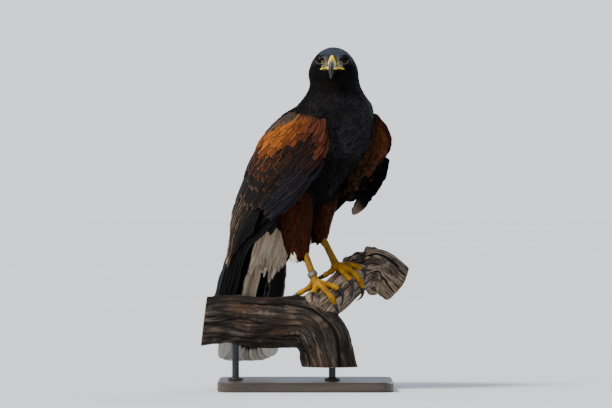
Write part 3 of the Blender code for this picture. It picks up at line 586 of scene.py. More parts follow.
def wing_frame(side, t, c, tucked=True):
    """The patch's points, both slopes and the outward normals, in the bird's terms."""
    step = 0.01
    here = wing_patch(side, t, c, tucked)
    along = (wing_patch(side, t + step, c, tucked) - wing_patch(side, t - step, c, tucked)) / (2 * step)
    over = (wing_patch(side, t, c + step, tucked) - wing_patch(side, t, c - step, tucked)) / (2 * step)
    normal = unit(np.cross(along, over))
    normal *= np.where(normal[..., 1:2] * side < 0, -1, 1)
    return here, along, over, normal


def on_wing(side, t, c, height, tucked=True):
    here, _, _, normal = wing_frame(side, t, c, tucked)
    return here + normal * np.asarray(height)[..., None]


def arm_heights(side, t, c):
    """How far the feathered arm's skin lies above and below the wing's surface."""
    rows = np.array(ARM_PROFILE)
    out = np.interp(t, rows[:, 0], rows[:, 1])
    depth = np.interp(t, rows[:, 0], rows[:, 2])
    edge = np.sqrt(np.maximum(1 - (2 * c - 1) ** 2, 0))
    fade = (1 - ease((t - 0.16) / 0.26)) * np.sqrt(np.minimum(1, 0.25 + t / 0.08))
    out = out - 2.2 * (1 - edge) * (1 - ease(t / 0.3))
    depth = depth + 15 * edge * fade * ease(c / 0.45)
    if side > 0:
        depth = depth + 15 * ease((t - 0.1) / 0.2) * (1 - c)
    return out, depth


def closed_grid(outer, inner):
    """Points and faces of a closed body between two grids of the same size."""
    rows, columns = outer.shape[:2]
    shift = rows * columns
    faces = grid_faces(rows, columns)
    rim = list(range(columns)) + [r * columns + columns - 1 for r in range(1, rows)]
    rim += [(rows - 1) * columns + k for k in range(columns - 2, -1, -1)]
    rim += [r * columns for r in range(rows - 2, 0, -1)]
    wall = [(a, b, b + shift, a + shift) for a, b in zip(rim, rim[1:] + rim[:1])]
    points = np.concatenate([outer.reshape(-1, 3), inner.reshape(-1, 3)])
    return points, np.concatenate([faces[:, ::-1], faces + shift, wall])


def arm_core(side, shrink):
    t, c = np.meshgrid(np.linspace(0, ARM_END, 22), np.linspace(0.06 if side > 0 else 0, 1, 20), indexing="ij")
    out, depth = arm_heights(side, t, c)
    outer = world(on_wing(side, t, c, out - shrink, False))
    inner = world(on_wing(side, t, c, shrink - depth, False))
    return closed_grid(outer, inner)


def mesh_arrays(obj):
    """An object's points and its faces as lists."""
    return read_points(obj.data), [list(p.vertices) for p in obj.data.polygons]


# Grain of each melted skin, and how far the body's skin lies below its plumage
SKIN_GRAIN, CERE_GRAIN, LEG_GRAIN, WOOD_GRAIN = 1.9, 0.42, 0.55, 1.45
SKIN_DEPTH = 1.5


def remeshed(name, parts, voxel, smooth, surface, shrink=0.0):
    """Closed bodies melted into one skin, smoothed and drawn in by a length."""
    points, faces = [], []
    for part_points, part_faces in parts:
        faces += [[len(points) + i for i in face] for face in part_faces]
        points.extend(part_points)
    obj = add_object(name, mesh_from(name, points, faces))
    melt = obj.modifiers.new("Melt", "REMESH")
    melt.mode = "VOXEL"
    melt.voxel_size = voxel * MM
    relax = obj.modifiers.new("Relax", "SMOOTH")
    relax.factor = 0.5
    relax.iterations = smooth
    graph = bpy.context.evaluated_depsgraph_get()
    baked = bpy.data.meshes.new_from_object(obj.evaluated_get(graph))
    obj.modifiers.clear()
    obj.data = baked
    if shrink:
        move_points(baked, read_points(baked) - read_points(baked, "normal") * shrink * MM)
    baked.materials.clear()
    baked.materials.append(surface)
    baked.shade_smooth()
    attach(obj, "root")
    return obj


def eye_axes(sign):
    """An eye's centre in the head's frame, and its look, outward side and up."""
    centre = np.array(EYES[sign])
    look = unit(np.array([sign * 4.0, 8.6, 0.4]))
    side = unit(np.cross(look, (0.0, 0.0, 1.0))) * sign
    side = side if side[0] * sign > 0 else -side
    up = np.cross(side, look) * (1 if np.cross(side, look)[2] > 0 else -1)
    return centre, look, side, up


def socket_height(across, above):
    """How far in front of an eye's middle the skin round it stands: a brow above, a low rim below."""
    r = np.hypot(across, above)
    brow = ease((above + 1.0) / 5.0)
    return 4.7 + 1.9 * brow - 0.42 * np.maximum(r - 5.4, 0) - 0.5 * ease(-above / 5.0)


# Soft swells of the skin: middle, radius and push, as u, v, z
SWELLS = [((40, 48, 398), 23, (4, 5, 7)), ((-30, -26, 192), 8, (0, 0, -2))]
CHEEKS = [((30, 2, -4), 15, 2.3), ((29, -2, -21), 9, -1.2)]


def swell_skin(skin):
    """Fills out the left shoulder and the cheeks."""
    p = bird(read_points(skin.data).astype(float))
    for middle, radius, push in SWELLS:
        near = np.exp(-((np.linalg.norm(p - np.array(middle), axis=1) / radius) ** 2))
        p = p + np.array(push, float) * near[:, None]
    local = head_local(world(p))
    for sign in (-1, 1):
        for (x, y, z), radius, push in CHEEKS:
            near = np.exp(-((np.linalg.norm(local - np.array((sign * x, y, z)), axis=1) / radius) ** 2))
            local[:, 0] += sign * push * near
    head = ease((p[:, 2] - 400) / 10)[:, None]
    move_points(skin.data, world(p) * (1 - head) + head_world(local) * head)


def shape_face(skin):
    """Raises a brow and rims round the eyes, and hollows the lores between eye and cere."""
    local = head_local(read_points(skin.data).astype(float))
    for sign in (-1, 1):
        lore = np.exp(-((np.linalg.norm((local - (sign * 11.5, 33, 11)) * (1, 0.7, 1), axis=1) / 7.5) ** 2))
        local[:, 1] -= 4.5 * lore
    for sign in (-1, 1):
        centre, look, side, up = eye_axes(sign)
        offset = local - centre
        across, above, out = offset @ side, offset @ up, offset @ look
        r = np.hypot(across, above)
        fade = ease((15.5 - r) / 7.5) * (r > 6.6) * ease((out + 5) / 3) * ease((across + 15) / 4)
        local = local + look * ((socket_height(across, above) - 1.2 - out) * fade)[:, None]
        ridge = np.exp(-(((above - 7.5 + 0.22 * across) / 3.2) ** 2) - ((across / 9) ** 2)) * (out > -3)
        local = local + (look * 1.6 + up * 0.6) * ridge[:, None]
    move_points(skin.data, head_world(local))


def build_skin():
    """The one skin of head, neck, torso, thighs and wing arms; it also finds how deep the gape lies."""
    made, tree, shader = new_material("skin", Roughness=0.85, IOR=1.25, Specular_IOR_Level=0.1)
    tone = attribute(tree, "tone", "Vector")
    grain = noise(tree, 300.0, 3.0, object_place(tree))
    dress(tree, shader, tinted(tree, grain, (0.3, 0.7, 0.0, 0.5), tone, SOOT), grain, 0.4, 0.0006)
    parts = [mesh_arrays(NODES[n]) for n in ("head", "neck", "torso", "thigh_right", "thigh_left")]
    parts += [arm_core(side, 0.6) for side in (-1, 1)]
    skin = remeshed("skin", parts, SKIN_GRAIN, 8, made, SKIN_DEPTH)
    swell_skin(skin)
    shape_face(skin)
    tree = BVHTree.FromObject(skin, bpy.context.evaluated_depsgraph_get())
    for k, (x, z, _) in enumerate(GAPE):
        hit = tree.ray_cast(Vector(head_world((x, 70.0, z))), Vector(-HEAD_FORWARD))[0]
        GAPE_DEPTHS[k] = float(head_local(np.array(hit))[1])
    GAPE_DEPTHS[0] = max(GAPE_DEPTHS[0], 39.0)
    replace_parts(skin, "head", "neck", "torso", "thigh_right", "thigh_left")
    return skin


# Where each patch of plumage grows, which way it lies and what colour it is


def nearest(points, samples):
    """For each point, the index of and the distance to the nearest sample."""
    tree = KDTree(len(samples))
    for i, s in enumerate(samples):
        tree.insert(s, i)
    tree.balance()
    found = [tree.find(p) for p in points]
    return np.array([f[1] for f in found]), np.array([f[2] for f in found])


class Body:
    """Reads regions of the body at points of the bird, in millimetres."""

    def __init__(self):
        self.steps = np.linspace(0, 1, LIE_STEPS)
        self.line = curve(LIE_LINE, self.steps)
        self.ahead = unit(curve(LIE_LINE, self.steps + 0.01) - curve(LIE_LINE, self.steps - 0.01))
        t, c = np.meshgrid(np.linspace(0, ARM_END, 50), np.linspace(0, 1, 50), indexing="ij")
        self.t, self.c = t.ravel(), c.ravel()
        self.arms = {}
        for side in (-1, 1):
            out, depth = arm_heights(side, self.t, self.c)
            self.arms[side] = [on_wing(side, self.t, self.c, lift, False) for lift in (out - 2, 2 - depth)]
        graph = bpy.context.evaluated_depsgraph_get()
        self.thighs = [BVHTree.FromObject(NODES[name], graph) for name in ("thigh_right", "thigh_left")]

    def read(self, p):
        """The flow of the feathers and the region masks at points p (n, 3)."""
        near, _ = nearest(p, self.line)
        flow = self.ahead[near].copy()
        local = head_local(world(p))
        from_bill = local - np.array(BILL_BASE)
        on_face = 1 - ease((np.linalg.norm(from_bill, axis=1) - 34) / 26)
        spread = from_bill[:, :1] * HEAD_LEFT + from_bill[:, 1:2] * HEAD_FORWARD + from_bill[:, 2:3] * HEAD_UP
        spread = bird_direction(unit(spread))
        flow = unit(flow * (1 - on_face[:, None]) + spread * on_face[:, None] * 1.4)
        head = ease((p[:, 2] - 418) / 16)
        result = {"flow": flow, "head": head, "local": local, "near": self.steps[near]}
        for side, label in ((-1, "right"), (1, "left")):
            outer, d_outer = nearest(p, self.arms[side][0])
            inner, d_inner = nearest(p, self.arms[side][1])
            result["arm_" + label] = (self.t[outer], self.c[outer], d_outer, d_inner)
            result["inner_" + label] = (self.t[inner], self.c[inner])
        thigh = np.zeros(len(p))
        places = world(p)
        for tree in self.thighs:
            far = np.array([tree.find_nearest(Vector(q))[3] for q in places]) / MM
            thigh = np.maximum(thigh, 1 - ease((far - 3.0) / 2.0))
        result["thigh"] = thigh * ease((312 - p[:, 2]) / 14)
        return result


def colours(*pairs):
    """A blend of colours: each pair is a colour and a mask, laid over those before it."""
    made = 0.0
    for colour, mask in pairs:
        mask = np.asarray(mask, float)[..., None]
        made = made * (1 - mask) + np.asarray(colour, float) * mask
    return made


def hash_noise(ix, iy, seed):
    """A random number from 0 to 1 for each pair of whole numbers."""
    mixed = ix.astype(np.int64) * 374761393 + iy.astype(np.int64) * 668265263 + seed * 982451653
    mixed = mixed & 0x7FFFFFFF
    mixed = (mixed ^ (mixed >> 13)) * 1274126177 & 0x7FFFFFFF
    return ((mixed ^ (mixed >> 16)) & 0xFFFF) / 65535.0


def value_noise(x, y, seed):
    """Smooth noise from -1 to 1 on a plane."""
    x, y = np.broadcast_arrays(np.asarray(x, float), np.asarray(y, float))
    ix, iy = np.floor(x).astype(int), np.floor(y).astype(int)
    fx, fy = ease(x - ix), ease(y - iy)
    low = hash_noise(ix, iy, seed) * (1 - fx) + hash_noise(ix + 1, iy, seed) * fx
    high = hash_noise(ix, iy + 1, seed) * (1 - fx) + hash_noise(ix + 1, iy + 1, seed) * fx
    return (low * (1 - fy) + high * fy) * 2 - 1


def scapular_zone(t, c):
    """Where the long dark feathers of the shoulder blade lie over the wing's upper edge."""
    edge = np.interp(t, [0, 0.05, 0.11, 0.17, 0.23, 0.42], [0.44, 0.56, 0.78, 0.90, 0.985, 1.15])
    return ease((c - edge) / 0.05 + 0.5)


def survey(skin):
    """What grows at each point of the skin: its flow, length, spacing, colours and kind."""
    mesh = skin.data
    count = len(mesh.vertices)
    points, normals = (read_points(mesh, key).astype(float) for key in ("co", "normal"))
    p, n = bird(points), bird_direction(normals)
    read = BODY.read(p)
    near, local, head = read["near"], read["local"], read["head"]
    flow = read["flow"].copy()
    ahead = BODY.ahead[np.clip((near * (LIE_STEPS - 1)).round().astype(int), 0, LIE_STEPS - 1)]
    upward = unit(np.stack([ahead[:, 2], ahead[:, 2] * 0, -ahead[:, 0]], -1))
    upward *= np.where(upward[:, :1] > 0, -1, 1)
    dorsal = ease(((n * upward).sum(1) + 0.15) / 0.5) * (1 - head)

    # Wing arms
    arm = np.zeros(count)
    arm_t, arm_c = np.zeros(count), np.zeros(count)
    under = np.zeros(count)
    for side, label in ((-1, "right"), (1, "left")):
        t, c, outer, inner = read["arm_" + label]
        beneath = inner < outer
        t, c = (np.where(beneath, below, above) for below, above in zip(read["inner_" + label], (t, c)))
        mask = (1 - ease((np.minimum(outer, inner) - 2.5) / 2.5)) * (p[:, 1] * side > 18)
        under = np.maximum(under, mask * beneath)
        _, along, over, _ = wing_frame(side, t, c, False)
        lie = unit(unit(along) + unit(over) * (0.25 - 0.1 * c)[:, None])
        flow = np.where((mask > 0.5)[:, None], lie, flow)
        arm = np.maximum(arm, mask)
        arm_t = np.where(mask > 0.5, t, arm_t)
        arm_c = np.where(mask > 0.5, c, arm_c)
    thigh = read["thigh"] * (1 - ease(arm * 3))
    down = np.array([-0.22, 0.0, -1.0])
    flow = unit(flow * (1 - thigh[:, None]) + down * thigh[:, None] * 1.5)

    # Lengths, in millimetres
    length = np.interp(near, np.linspace(0, 1, 11), [6, 6, 6.5, 9, 13, 17, 19, 20, 21, 21, 21])
    length = length * (1 + 0.3 * dorsal * ease((405 - p[:, 2]) / 30))
    far = np.linalg.norm((local - FACE_MIDDLE) * (1, 1, 0.9), axis=1)
    face = np.interp(far, [10, 20, 30, 44, 60], [2.0, 2.8, 3.8, 5.0, 6.4])
    length = np.where(head > 0.5, np.minimum(length, face), length)
    eyes = np.minimum(*[np.linalg.norm(local - np.array(EYES[s]), axis=1) for s in (-1, 1)])
    length = np.where(eyes < 16, np.minimum(length, np.interp(eyes, [8, 16], [2.0, 4.2])), length)
    length = np.where(arm > 0.5, np.interp(arm_t, [0, 0.1, 0.4], [8.5, 10.5, 14]), length)
    scapular = arm * scapular_zone(arm_t, arm_c) * (1 - under)
    length = length * (1 - scapular) + 19 * scapular
    length = length * (1 - 0.15 * thigh)

    # Colours
    z = p[:, 2]
    vent = ease((262 - z) / 26) * ease((-78 - p[:, 0]) / 18) * (1 - thigh)
    # crown: the top of the head, lightened with a painted blue-grey highlight in its tone and rims
    crown = head * ease((local[:, 2] - 8) / 20)
    # lores: pale tan-grey between eye and cere, partly their own colour and partly a painted highlight
    lore_spots = np.array([[s * 10.5, 31, 14.5] for s in (-1, 1)])
    far = np.min([np.linalg.norm((local - q) * (1, 0.8, 0.8), axis=1) for q in lore_spots], axis=0)
    lores = np.exp(-(far / 6.5) ** 4) * ease((local[:, 2] - 6) / 4)
    chin = head * ease((4 - local[:, 2]) / 8) * ease((local[:, 1] - 18) / 10)
    breast = (1 - head) * (1 - dorsal) * ease((z - 330) / 40)
    back = dorsal * ease((402 - z) / 16)
    # The upper edge of the right shoulder: brighter chestnut, with painted light from above laid over it
    bright_and_lit = arm * np.exp(-(((arm_t - 0.1) / 0.13) ** 2)) * ease((arm_c - 0.35) / 0.35) * (p[:, 1] < 0)
    # front: the front of the shoulder, dull reddish brown darkened with painted shade
    front = arm * ease((0.55 - arm_c) / 0.3)
    under_edge = under * ease((0.3 - arm_c) / 0.2) * ease((0.2 - arm_t) / 0.08)
    dark_edge = np.interp(arm_t, [0.1, 0.14, 0.2, 0.3, 0.4], [-0.15, -0.06, 0.02, 0.06, 0.12])
    under_dark = under * ease((dark_edge - arm_c) / 0.06 + 0.5)
    cloud = value_noise(p[:, 0] / 19 + p[:, 1] / 31, z / 24 + p[:, 1] / 17, 5) * 0.5 + 0.5
    pale_breast = breast * (0.25 + 0.75 * ease((cloud - 0.35) / 0.4))
    one = np.ones(count)
    tone = colours(
        (SOOT, one), ((0.0115, 0.0105, 0.0115), breast * (0.4 + 0.6 * cloud)),
        (SOOT, head), (CROWN_HIGHLIGHT, 0.8 * crown), ((0.017, 0.012, 0.0095), 0.9 * back),
        (RUFOUS, arm), (RUFOUS_DULL_SHADED, front), (RUFOUS_BRIGHT, 0.6 * bright_and_lit),
        ((0.037, 0.0170, 0.0100), under), (RUFOUS, 0.6 * under_edge), (SOOT, 0.9 * under_dark),
        (CHESTNUT, thigh), (SCAPULAR, scapular), (WHITE, vent), ((0.38, 0.32, 0.28), 0.9 * lores),
    )
    rim = colours(
        ((0.006, 0.0058, 0.006), one), ((0.090, 0.083, 0.092), 0.85 * pale_breast),
        ((0.0055, 0.0055, 0.0068), head), (CROWN_HIGHLIGHT_RIM, 0.8 * crown), (TAN, 0.8 * back),
        (RUFOUS_BRIGHT, 0.6 * arm), (RUFOUS, front), (RUFOUS_BRIGHT, bright_and_lit),
        ((0.085, 0.037, 0.019), under), ((0.20, 0.070, 0.016), 0.5 * under_edge), (SOOT, 0.9 * under_dark),
        ((0.050, 0.0135, 0.0042), thigh), (TAN, 0.7 * scapular), (WHITE, vent),
        ((0.55, 0.48, 0.43), 0.9 * lores), ((0.022, 0.016, 0.011), 0.8 * chin),
    )
    kind = np.select([arm > 0.5, thigh > 0.5, head > 0.5, dorsal > 0.5], [3, 2, 0, 4], 1)
    turn = np.arctan2((n * upward).sum(1), n[:, 1]) / (2 * math.pi) + 0.5
    place = np.stack([turn, near], -1)
    cere = ((local[:, 0] / 6.0) ** 2 + ((local[:, 2] - 16.5) / 10.0) ** 2 < 1) & (local[:, 1] > 22)
    gape = np.array([(sign * x, y, z) for sign in (-1, 1) for x, y, z, _ in gape_line(1.0)])
    beside = np.min([np.linalg.norm((local - q) * (1, 0.6, 1), axis=1) for q in gape], axis=0)
    bare = (eyes < EYE_RADIUS + 0.9) | cere | (beside < 1.6)
    store(mesh, "tone", tone * 0.6)
    return {
        "points": points, "normals": normals, "flow": flow, "length": length, "tone": tone, "rim": rim,
        "kind": kind, "place": place, "bare": bare.astype(float), "thigh": thigh, "lores": lores,
        "vent": vent, "arm": arm, "pitch": length * (1 - 0.42 * thigh - 0.1 * breast),
    }


# Distance between the roots of feathers as a share of their length
ROOT_SPACING = 0.31


def seed_roots(skin, field, spacing=ROOT_SPACING):
    """Roots for the body feathers, scattered evenly with a spacing that follows their length."""
    mesh = skin.data
    mesh.calc_loop_triangles()
    corners = np.zeros(len(mesh.loop_triangles) * 3, np.int32)
    mesh.loop_triangles.foreach_get("vertices", corners)
    corners = corners.reshape(-1, 3)
    a, b, c = (field["points"][corners[:, k]] for k in range(3))
    area = np.linalg.norm(np.cross(b - a, c - a), axis=1) / 2 / MM**2
    size = field["pitch"][corners].mean(1)
    wanted = area / (spacing * size) ** 2
    wanted[field["bare"][corners].max(1) > 0.5] = 0
    total = int(wanted.sum() * 5)
    picked = DRAW.choice(len(corners), total, p=wanted / wanted.sum())
    r, s = DRAW.random(total), DRAW.random(total)
    over = r + s > 1
    r[over], s[over] = 1 - r[over], 1 - s[over]
    weights = np.stack([1 - r - s, r, s], -1)
    chosen = corners[picked]

    def at(values):
        values = values[chosen]
        return (values * (weights[..., None] if values.ndim == 3 else weights)).sum(1)

    points = at(field["points"])
    pitches = at(field["pitch"])
    tree = KDTree(total)
    for i, q in enumerate(points):
        tree.insert(q, i)
    tree.balance()
    dead = np.zeros(total, bool)
    keep = []
    for i in range(total):
        if dead[i]:
            continue
        keep.append(i)
        for _, j, _ in tree.find_range(points[i], spacing * pitches[i] * MM):
            dead[j] = True
    keep = np.array(keep)
    made = {key: at(field[key])[keep] for key in field if key != "kind"}
    made["kind"] = field["kind"][chosen[keep, 0]]
    return made


# Patches of body feathers, by the number of their kind; face, crown and nape share the head's
PLUMAGE = ["face", "breast", "thighs", "shoulders", "back", "crown", "nape"]
FACE_MIDDLE = (0, 36, 12)
# Shares of the head's feathers that lie nearer to the bill than the crown and the nape
HEAD_SPLIT = (0.36, 0.7)
# A feather is left out where other skin lies this near over its root
HIDDEN_FROM, HIDDEN_BELOW = 1.2, 7.0
# Thickness of small feathers, of coverts and of long feathers
VANE_THICK = 0.2
COVERT_THICK = 0.22
LONG_THICK = 0.3
# Margin and width of the feathers' places on the unwrap
UNWRAP = (0.01, 0.975)


def body_feathers(skin, roots, surface):
    """Thin overlapping feathers that grow out of the skin and lie along it."""
    graph = bpy.context.evaluated_depsgraph_get()
    tree = BVHTree.FromObject(skin, graph)
    count = len(roots["points"])
    normals = unit(roots["normals"])
    shown = np.ones(count, bool)
    for i in range(count):
        start = Vector(roots["points"][i] + normals[i] * HIDDEN_FROM * MM)
        shown[i] = tree.ray_cast(start, Vector(normals[i]), HIDDEN_BELOW * MM)[0] is None
    roots = {key: values[shown] for key, values in roots.items()}
    count = len(roots["points"])
    normals = unit(roots["normals"])
    along = np.array([0.0, 0.16, 0.36, 0.58, 0.78, 0.92, 1.0])
    rows = len(along)
    shape = np.array([0.42, 0.78, 0.98, 1.0, 0.84, 0.54, 0.16])
    slim = np.array([0.5, 0.85, 1.0, 0.9, 0.62, 0.34, 0.08])
    length = roots["length"] * DRAW.uniform(0.86, 1.16, count)
    length *= 1 + 0.15 * roots["thigh"] + 0.3 * roots["vent"]
    flow = model_direction(roots["flow"])
    flow = unit(flow - normals * (flow * normals).sum(1, keepdims=True))
    side = np.cross(normals, flow)
    sway = DRAW.normal(0, 0.12, count)[:, None] * (1 + roots["thigh"][:, None])
    aim = unit(flow + side * sway)

    def on_skin(places):
        """The nearest points of the skin and its normals there."""
        found = [tree.find_nearest(Vector(q)) for q in places]
        return np.array([f[0] for f in found]), np.array([f[1] for f in found])

    wide = length * (0.42 - 0.22 * roots["thigh"] + 0.02 * roots["arm"] - 0.10 * roots["lores"])
    loose = np.clip(roots["thigh"] + roots["vent"], 0, 1)[:, None]
    half = wide[:, None] * (shape * (1 - loose) + slim * loose)
    columns = np.array([-1.0, -0.5, 0.0, 0.5, 1.0])
    nick = DRAW.uniform(0.74, 1.1, (count, rows, 2))
    widths = half[..., None] * np.abs(columns) * nick[..., [0, 0, 0, 1, 1]]
    fluff = 0.045 + 0.01 * roots["thigh"] + 0.03 * roots["vent"] - 0.015 * roots["arm"]
    lift = DRAW.uniform(0.85, 1.2, count)
    points = np.zeros((count, rows, len(columns), 3))
    facing = np.zeros((count, rows, 3))
    here, face = roots["points"].copy(), normals
    for k in range(rows):
        if k:
            here = here + aim * ((along[k] - along[k - 1]) * length * MM)[:, None]
            here, found = on_skin(here)
            face = unit(face * 0.4 + found * 0.6)
            aim = unit(aim - face * (aim * face).sum(1, keepdims=True))
        facing[:, k] = face
        across = unit(np.cross(face, aim))
        rise = -1.0 if k == 0 else (0.12 + (0.55 + fluff * length) * along[k]) * lift
        for j, column in enumerate(columns):
            spot = here + across * (widths[:, k, j] * np.sign(column) * MM)[:, None]
            if column:
                spot = on_skin(spot)[0]
            down = 0.05 * widths[:, k, j]
            points[:, k, j] = spot + face * ((rise - down) * MM)[:, None]
    fronts = np.broadcast_to(facing[:, :, None], points.shape)
    barbs = along[None, :, None] * length[:, None, None] + widths * 0.7
    kinds = roots["kind"].copy()
    reach = np.linalg.norm(head_local(roots["points"]) - FACE_MIDDLE, axis=1)
    first, second = np.quantile(reach[kinds == 0], HEAD_SPLIT)
    kinds[(kinds == 0) & (reach > second)] = 6
    kinds[(kinds == 0) & (reach > first)] = 5
    vary = DRAW.uniform(0.8, 1.25, (count, 1))
    for kind, name in enumerate(PLUMAGE):
        pick = kinds == kind
        low, high = roots["place"][pick].min(0), roots["place"][pick].max(0)
        spot = UNWRAP[0] + UNWRAP[1] * (roots["place"][pick] - low) / np.maximum(high - low, 1e-6)
        tone, rim = ((roots[key] * vary)[pick] for key in ("tone", "rim"))
        obj = vanes(
            "plumage_" + name, points[pick], fronts[pick], VANE_THICK * MM, surface, tone, rim, barbs[pick],
            columns[None, None, :], along[None, :, None], spot,
        )


# White down below the hem of each thigh: middle of its root, number and length
HEM_DOWN = [((-22, -35, 200), 24, 17), ((-38, 4, 220), 12, 14)]


def build_hem_down(surface):
    """Loose white plumes that hang below the thighs."""
    along = np.linspace(0, 1, 9)
    columns = np.linspace(-1, 1, 5)
    every, fronts = [], []
    for middle, number, length in HEM_DOWN:
        for _ in range(number):
            root = np.array(middle, float) + DRAW.uniform(-1, 1, 3) * (3.4, 3.4, 2.0)
            fall = unit(np.array([DRAW.normal(0.05, 0.14), DRAW.normal(0, 0.14), -1.0]))
            size = length * DRAW.uniform(0.75, 1.1)
            bend = np.array([DRAW.normal(0, 1.2), DRAW.normal(0, 1.2), 0.0])
            line = root + fall * (size * along)[:, None] + bend * (along**2)[:, None]
            face = unit(np.array([0.75 + DRAW.normal(0, 0.2), -0.66 + DRAW.normal(0, 0.2), 0.1]))
            across = unit(np.cross(fall, face))
            width = 2.1 * np.sqrt(np.maximum(1 - np.abs(2 * along - 0.9) ** 2.4, 0.0)) + 0.12
            width = width[:, None] * columns * DRAW.uniform(0.75, 1.1, (9, 1))
            every.append(line[:, None] + across * width[..., None])
            fronts.append(np.broadcast_to(face, (9, 5, 3)))
    points, fronts = np.array(every), model_direction(np.array(fronts))
    count = len(points)
    tone = DRAW.uniform(0.75, 1.0, (count, 1)) * WHITE
    barbs = np.broadcast_to(along[None, :, None] * 15, (count, 9, 5))
    spots = UNWRAP[0] + UNWRAP[1] * np.stack([np.arange(count) % 6 / 6, np.arange(count) // 6 / 6], -1)
    obj = vanes(
        "hem_down", world(points), fronts, VANE_THICK * MM, surface, tone, tone, barbs,
        columns, along[None, :, None], spots,
    )


# Long feathers of the wings and the tail


def step_over(side, t, c, direction, distance, tucked):
    """Places on a wing some millimetres off along its surface."""
    _, along, over, _ = wing_frame(side, t, c, tucked)
    aa, ac, cc = (along * along).sum(-1), (along * over).sum(-1), (over * over).sum(-1)
    da, dc = (direction * along).sum(-1) * distance, (direction * over).sum(-1) * distance
    base = np.maximum(aa * cc - ac * ac, 1e-6)
    return t + (da * cc - dc * ac) / base, c + (dc * aa - da * ac) / base


def vane_outline(b, blunt, waist):
    """The half width along a feather, from 0 to 1: a narrow root, a full vane and a rounded tip."""
    start = waist + (1 - waist) * ease(b / 0.3)
    turn = np.clip((b - blunt) / (1 - blunt), 0, 1)
    return start * np.sqrt(np.maximum(1 - turn**2.2, 0)) + 0.015


# Tiers of the wing: count, half width, level and its rise towards the tip, tile height, blunt, tucked,
# roots and tips as t, c
WING_TIERS = {
    "primaries": (
        10, 12.0, (-8.6, 6.0), 0.9, 0.80, True, [(0.30, 0.11), (0.32, 0.20), (0.34, 0.31)],
        [(0.95, 0.0), (1.01, 0.26), (1.06, 0.56), (1.06, 0.92), (1.0, 1.20)],
    ),
    "secondaries": (
        12, 14.0, (-4.8, 4.2), 0.8, 0.86, True, [(0.31, 0.20), (0.33, 0.55), (0.35, 0.95)],
        [(0.70, 0.24), (0.80, 0.48), (0.86, 0.74), (0.84, 0.95), (0.68, 1.05)],
    ),
    "primary_coverts": (
        6, 8.5, (-1.4, 0.0), 0.6, 0.7, False, [(0.17, 0.0), (0.18, 0.05), (0.19, 0.11)],
        [(0.44, -0.01), (0.50, 0.04), (0.52, 0.12)],
    ),
}
# The left wing's tip is closed further, and the tips of its primary coverts show below the breast
LEFT_TIPS = {
    "primaries": [(0.95, 0.34), (1.01, 0.46), (1.06, 0.64), (1.06, 0.92), (1.0, 1.20)],
    "primary_coverts": [(0.472, -0.015), (0.458, 0.01), (0.425, 0.045)],
}

# Rows of coverts: place of the root and of the tip along the wing, count, half width
COVERT_ROWS = [
    (0.250, 0.530, 17, 9.2),
    (0.232, 0.440, 21, 6.8),
    (0.215, 0.392, 22, 6.2),
    (0.190, 0.345, 22, 5.8),
    (0.165, 0.298, 22, 5.6),
    (0.138, 0.255, 21, 5.5),
    (0.112, 0.214, 20, 5.4),
    (0.086, 0.176, 20, 5.2),
    (0.062, 0.142, 19, 5.0),
    (0.040, 0.110, 19, 4.8),
    (0.020, 0.082, 19, 4.7),
]


def ladder(rows):
    """Places along a feather, closer together towards the tip."""
    return 1 - (1 - np.linspace(0, 1, rows)) ** 1.5


def ragged(count, rows, columns, depth):
    """How much of each side's width is left at each row: small splits between the barbs."""
    keep = np.ones((count, rows, columns.size))
    nick = DRAW.random((count, rows, 2)) < 0.16
    cut = DRAW.uniform(0.3, 1.0, (count, rows, 2)) * depth * nick
    keep -= np.where(columns < 0, cut[..., :1], cut[..., 1:]) * np.abs(columns) ** 3
    return keep


def feather_ways(side, place, aim, tucked=True):
    """Along feathers laid on a wing: their middle lines, the way across each and the gap to the next."""
    here, _, over, normal = wing_frame(side, place[..., 0], place[..., 1], tucked)
    nudge = place + aim * 0.02
    forward = unit(wing_patch(side, nudge[..., 0], nudge[..., 1], tucked) - here)
    lateral = unit(np.cross(normal, forward))
    lateral *= np.where((lateral * over).sum(-1, keepdims=True) < 0, -1, 1)
    gap = np.abs((np.gradient(here, axis=0) * lateral).sum(-1))
    return here, lateral, np.maximum(gap, 3.0)


def laid_vanes(side, place, lateral, x, height, tucked=True):
    """Points of vanes, x off their middle lines and a height off the wing, and the way they face."""
    t, c = step_over(side, place[..., :1], place[..., 1:], lateral[:, :, None], x, tucked)
    return world(on_wing(side, t, c, height, tucked)), model_direction(wing_frame(side, t, c, tucked)[3])


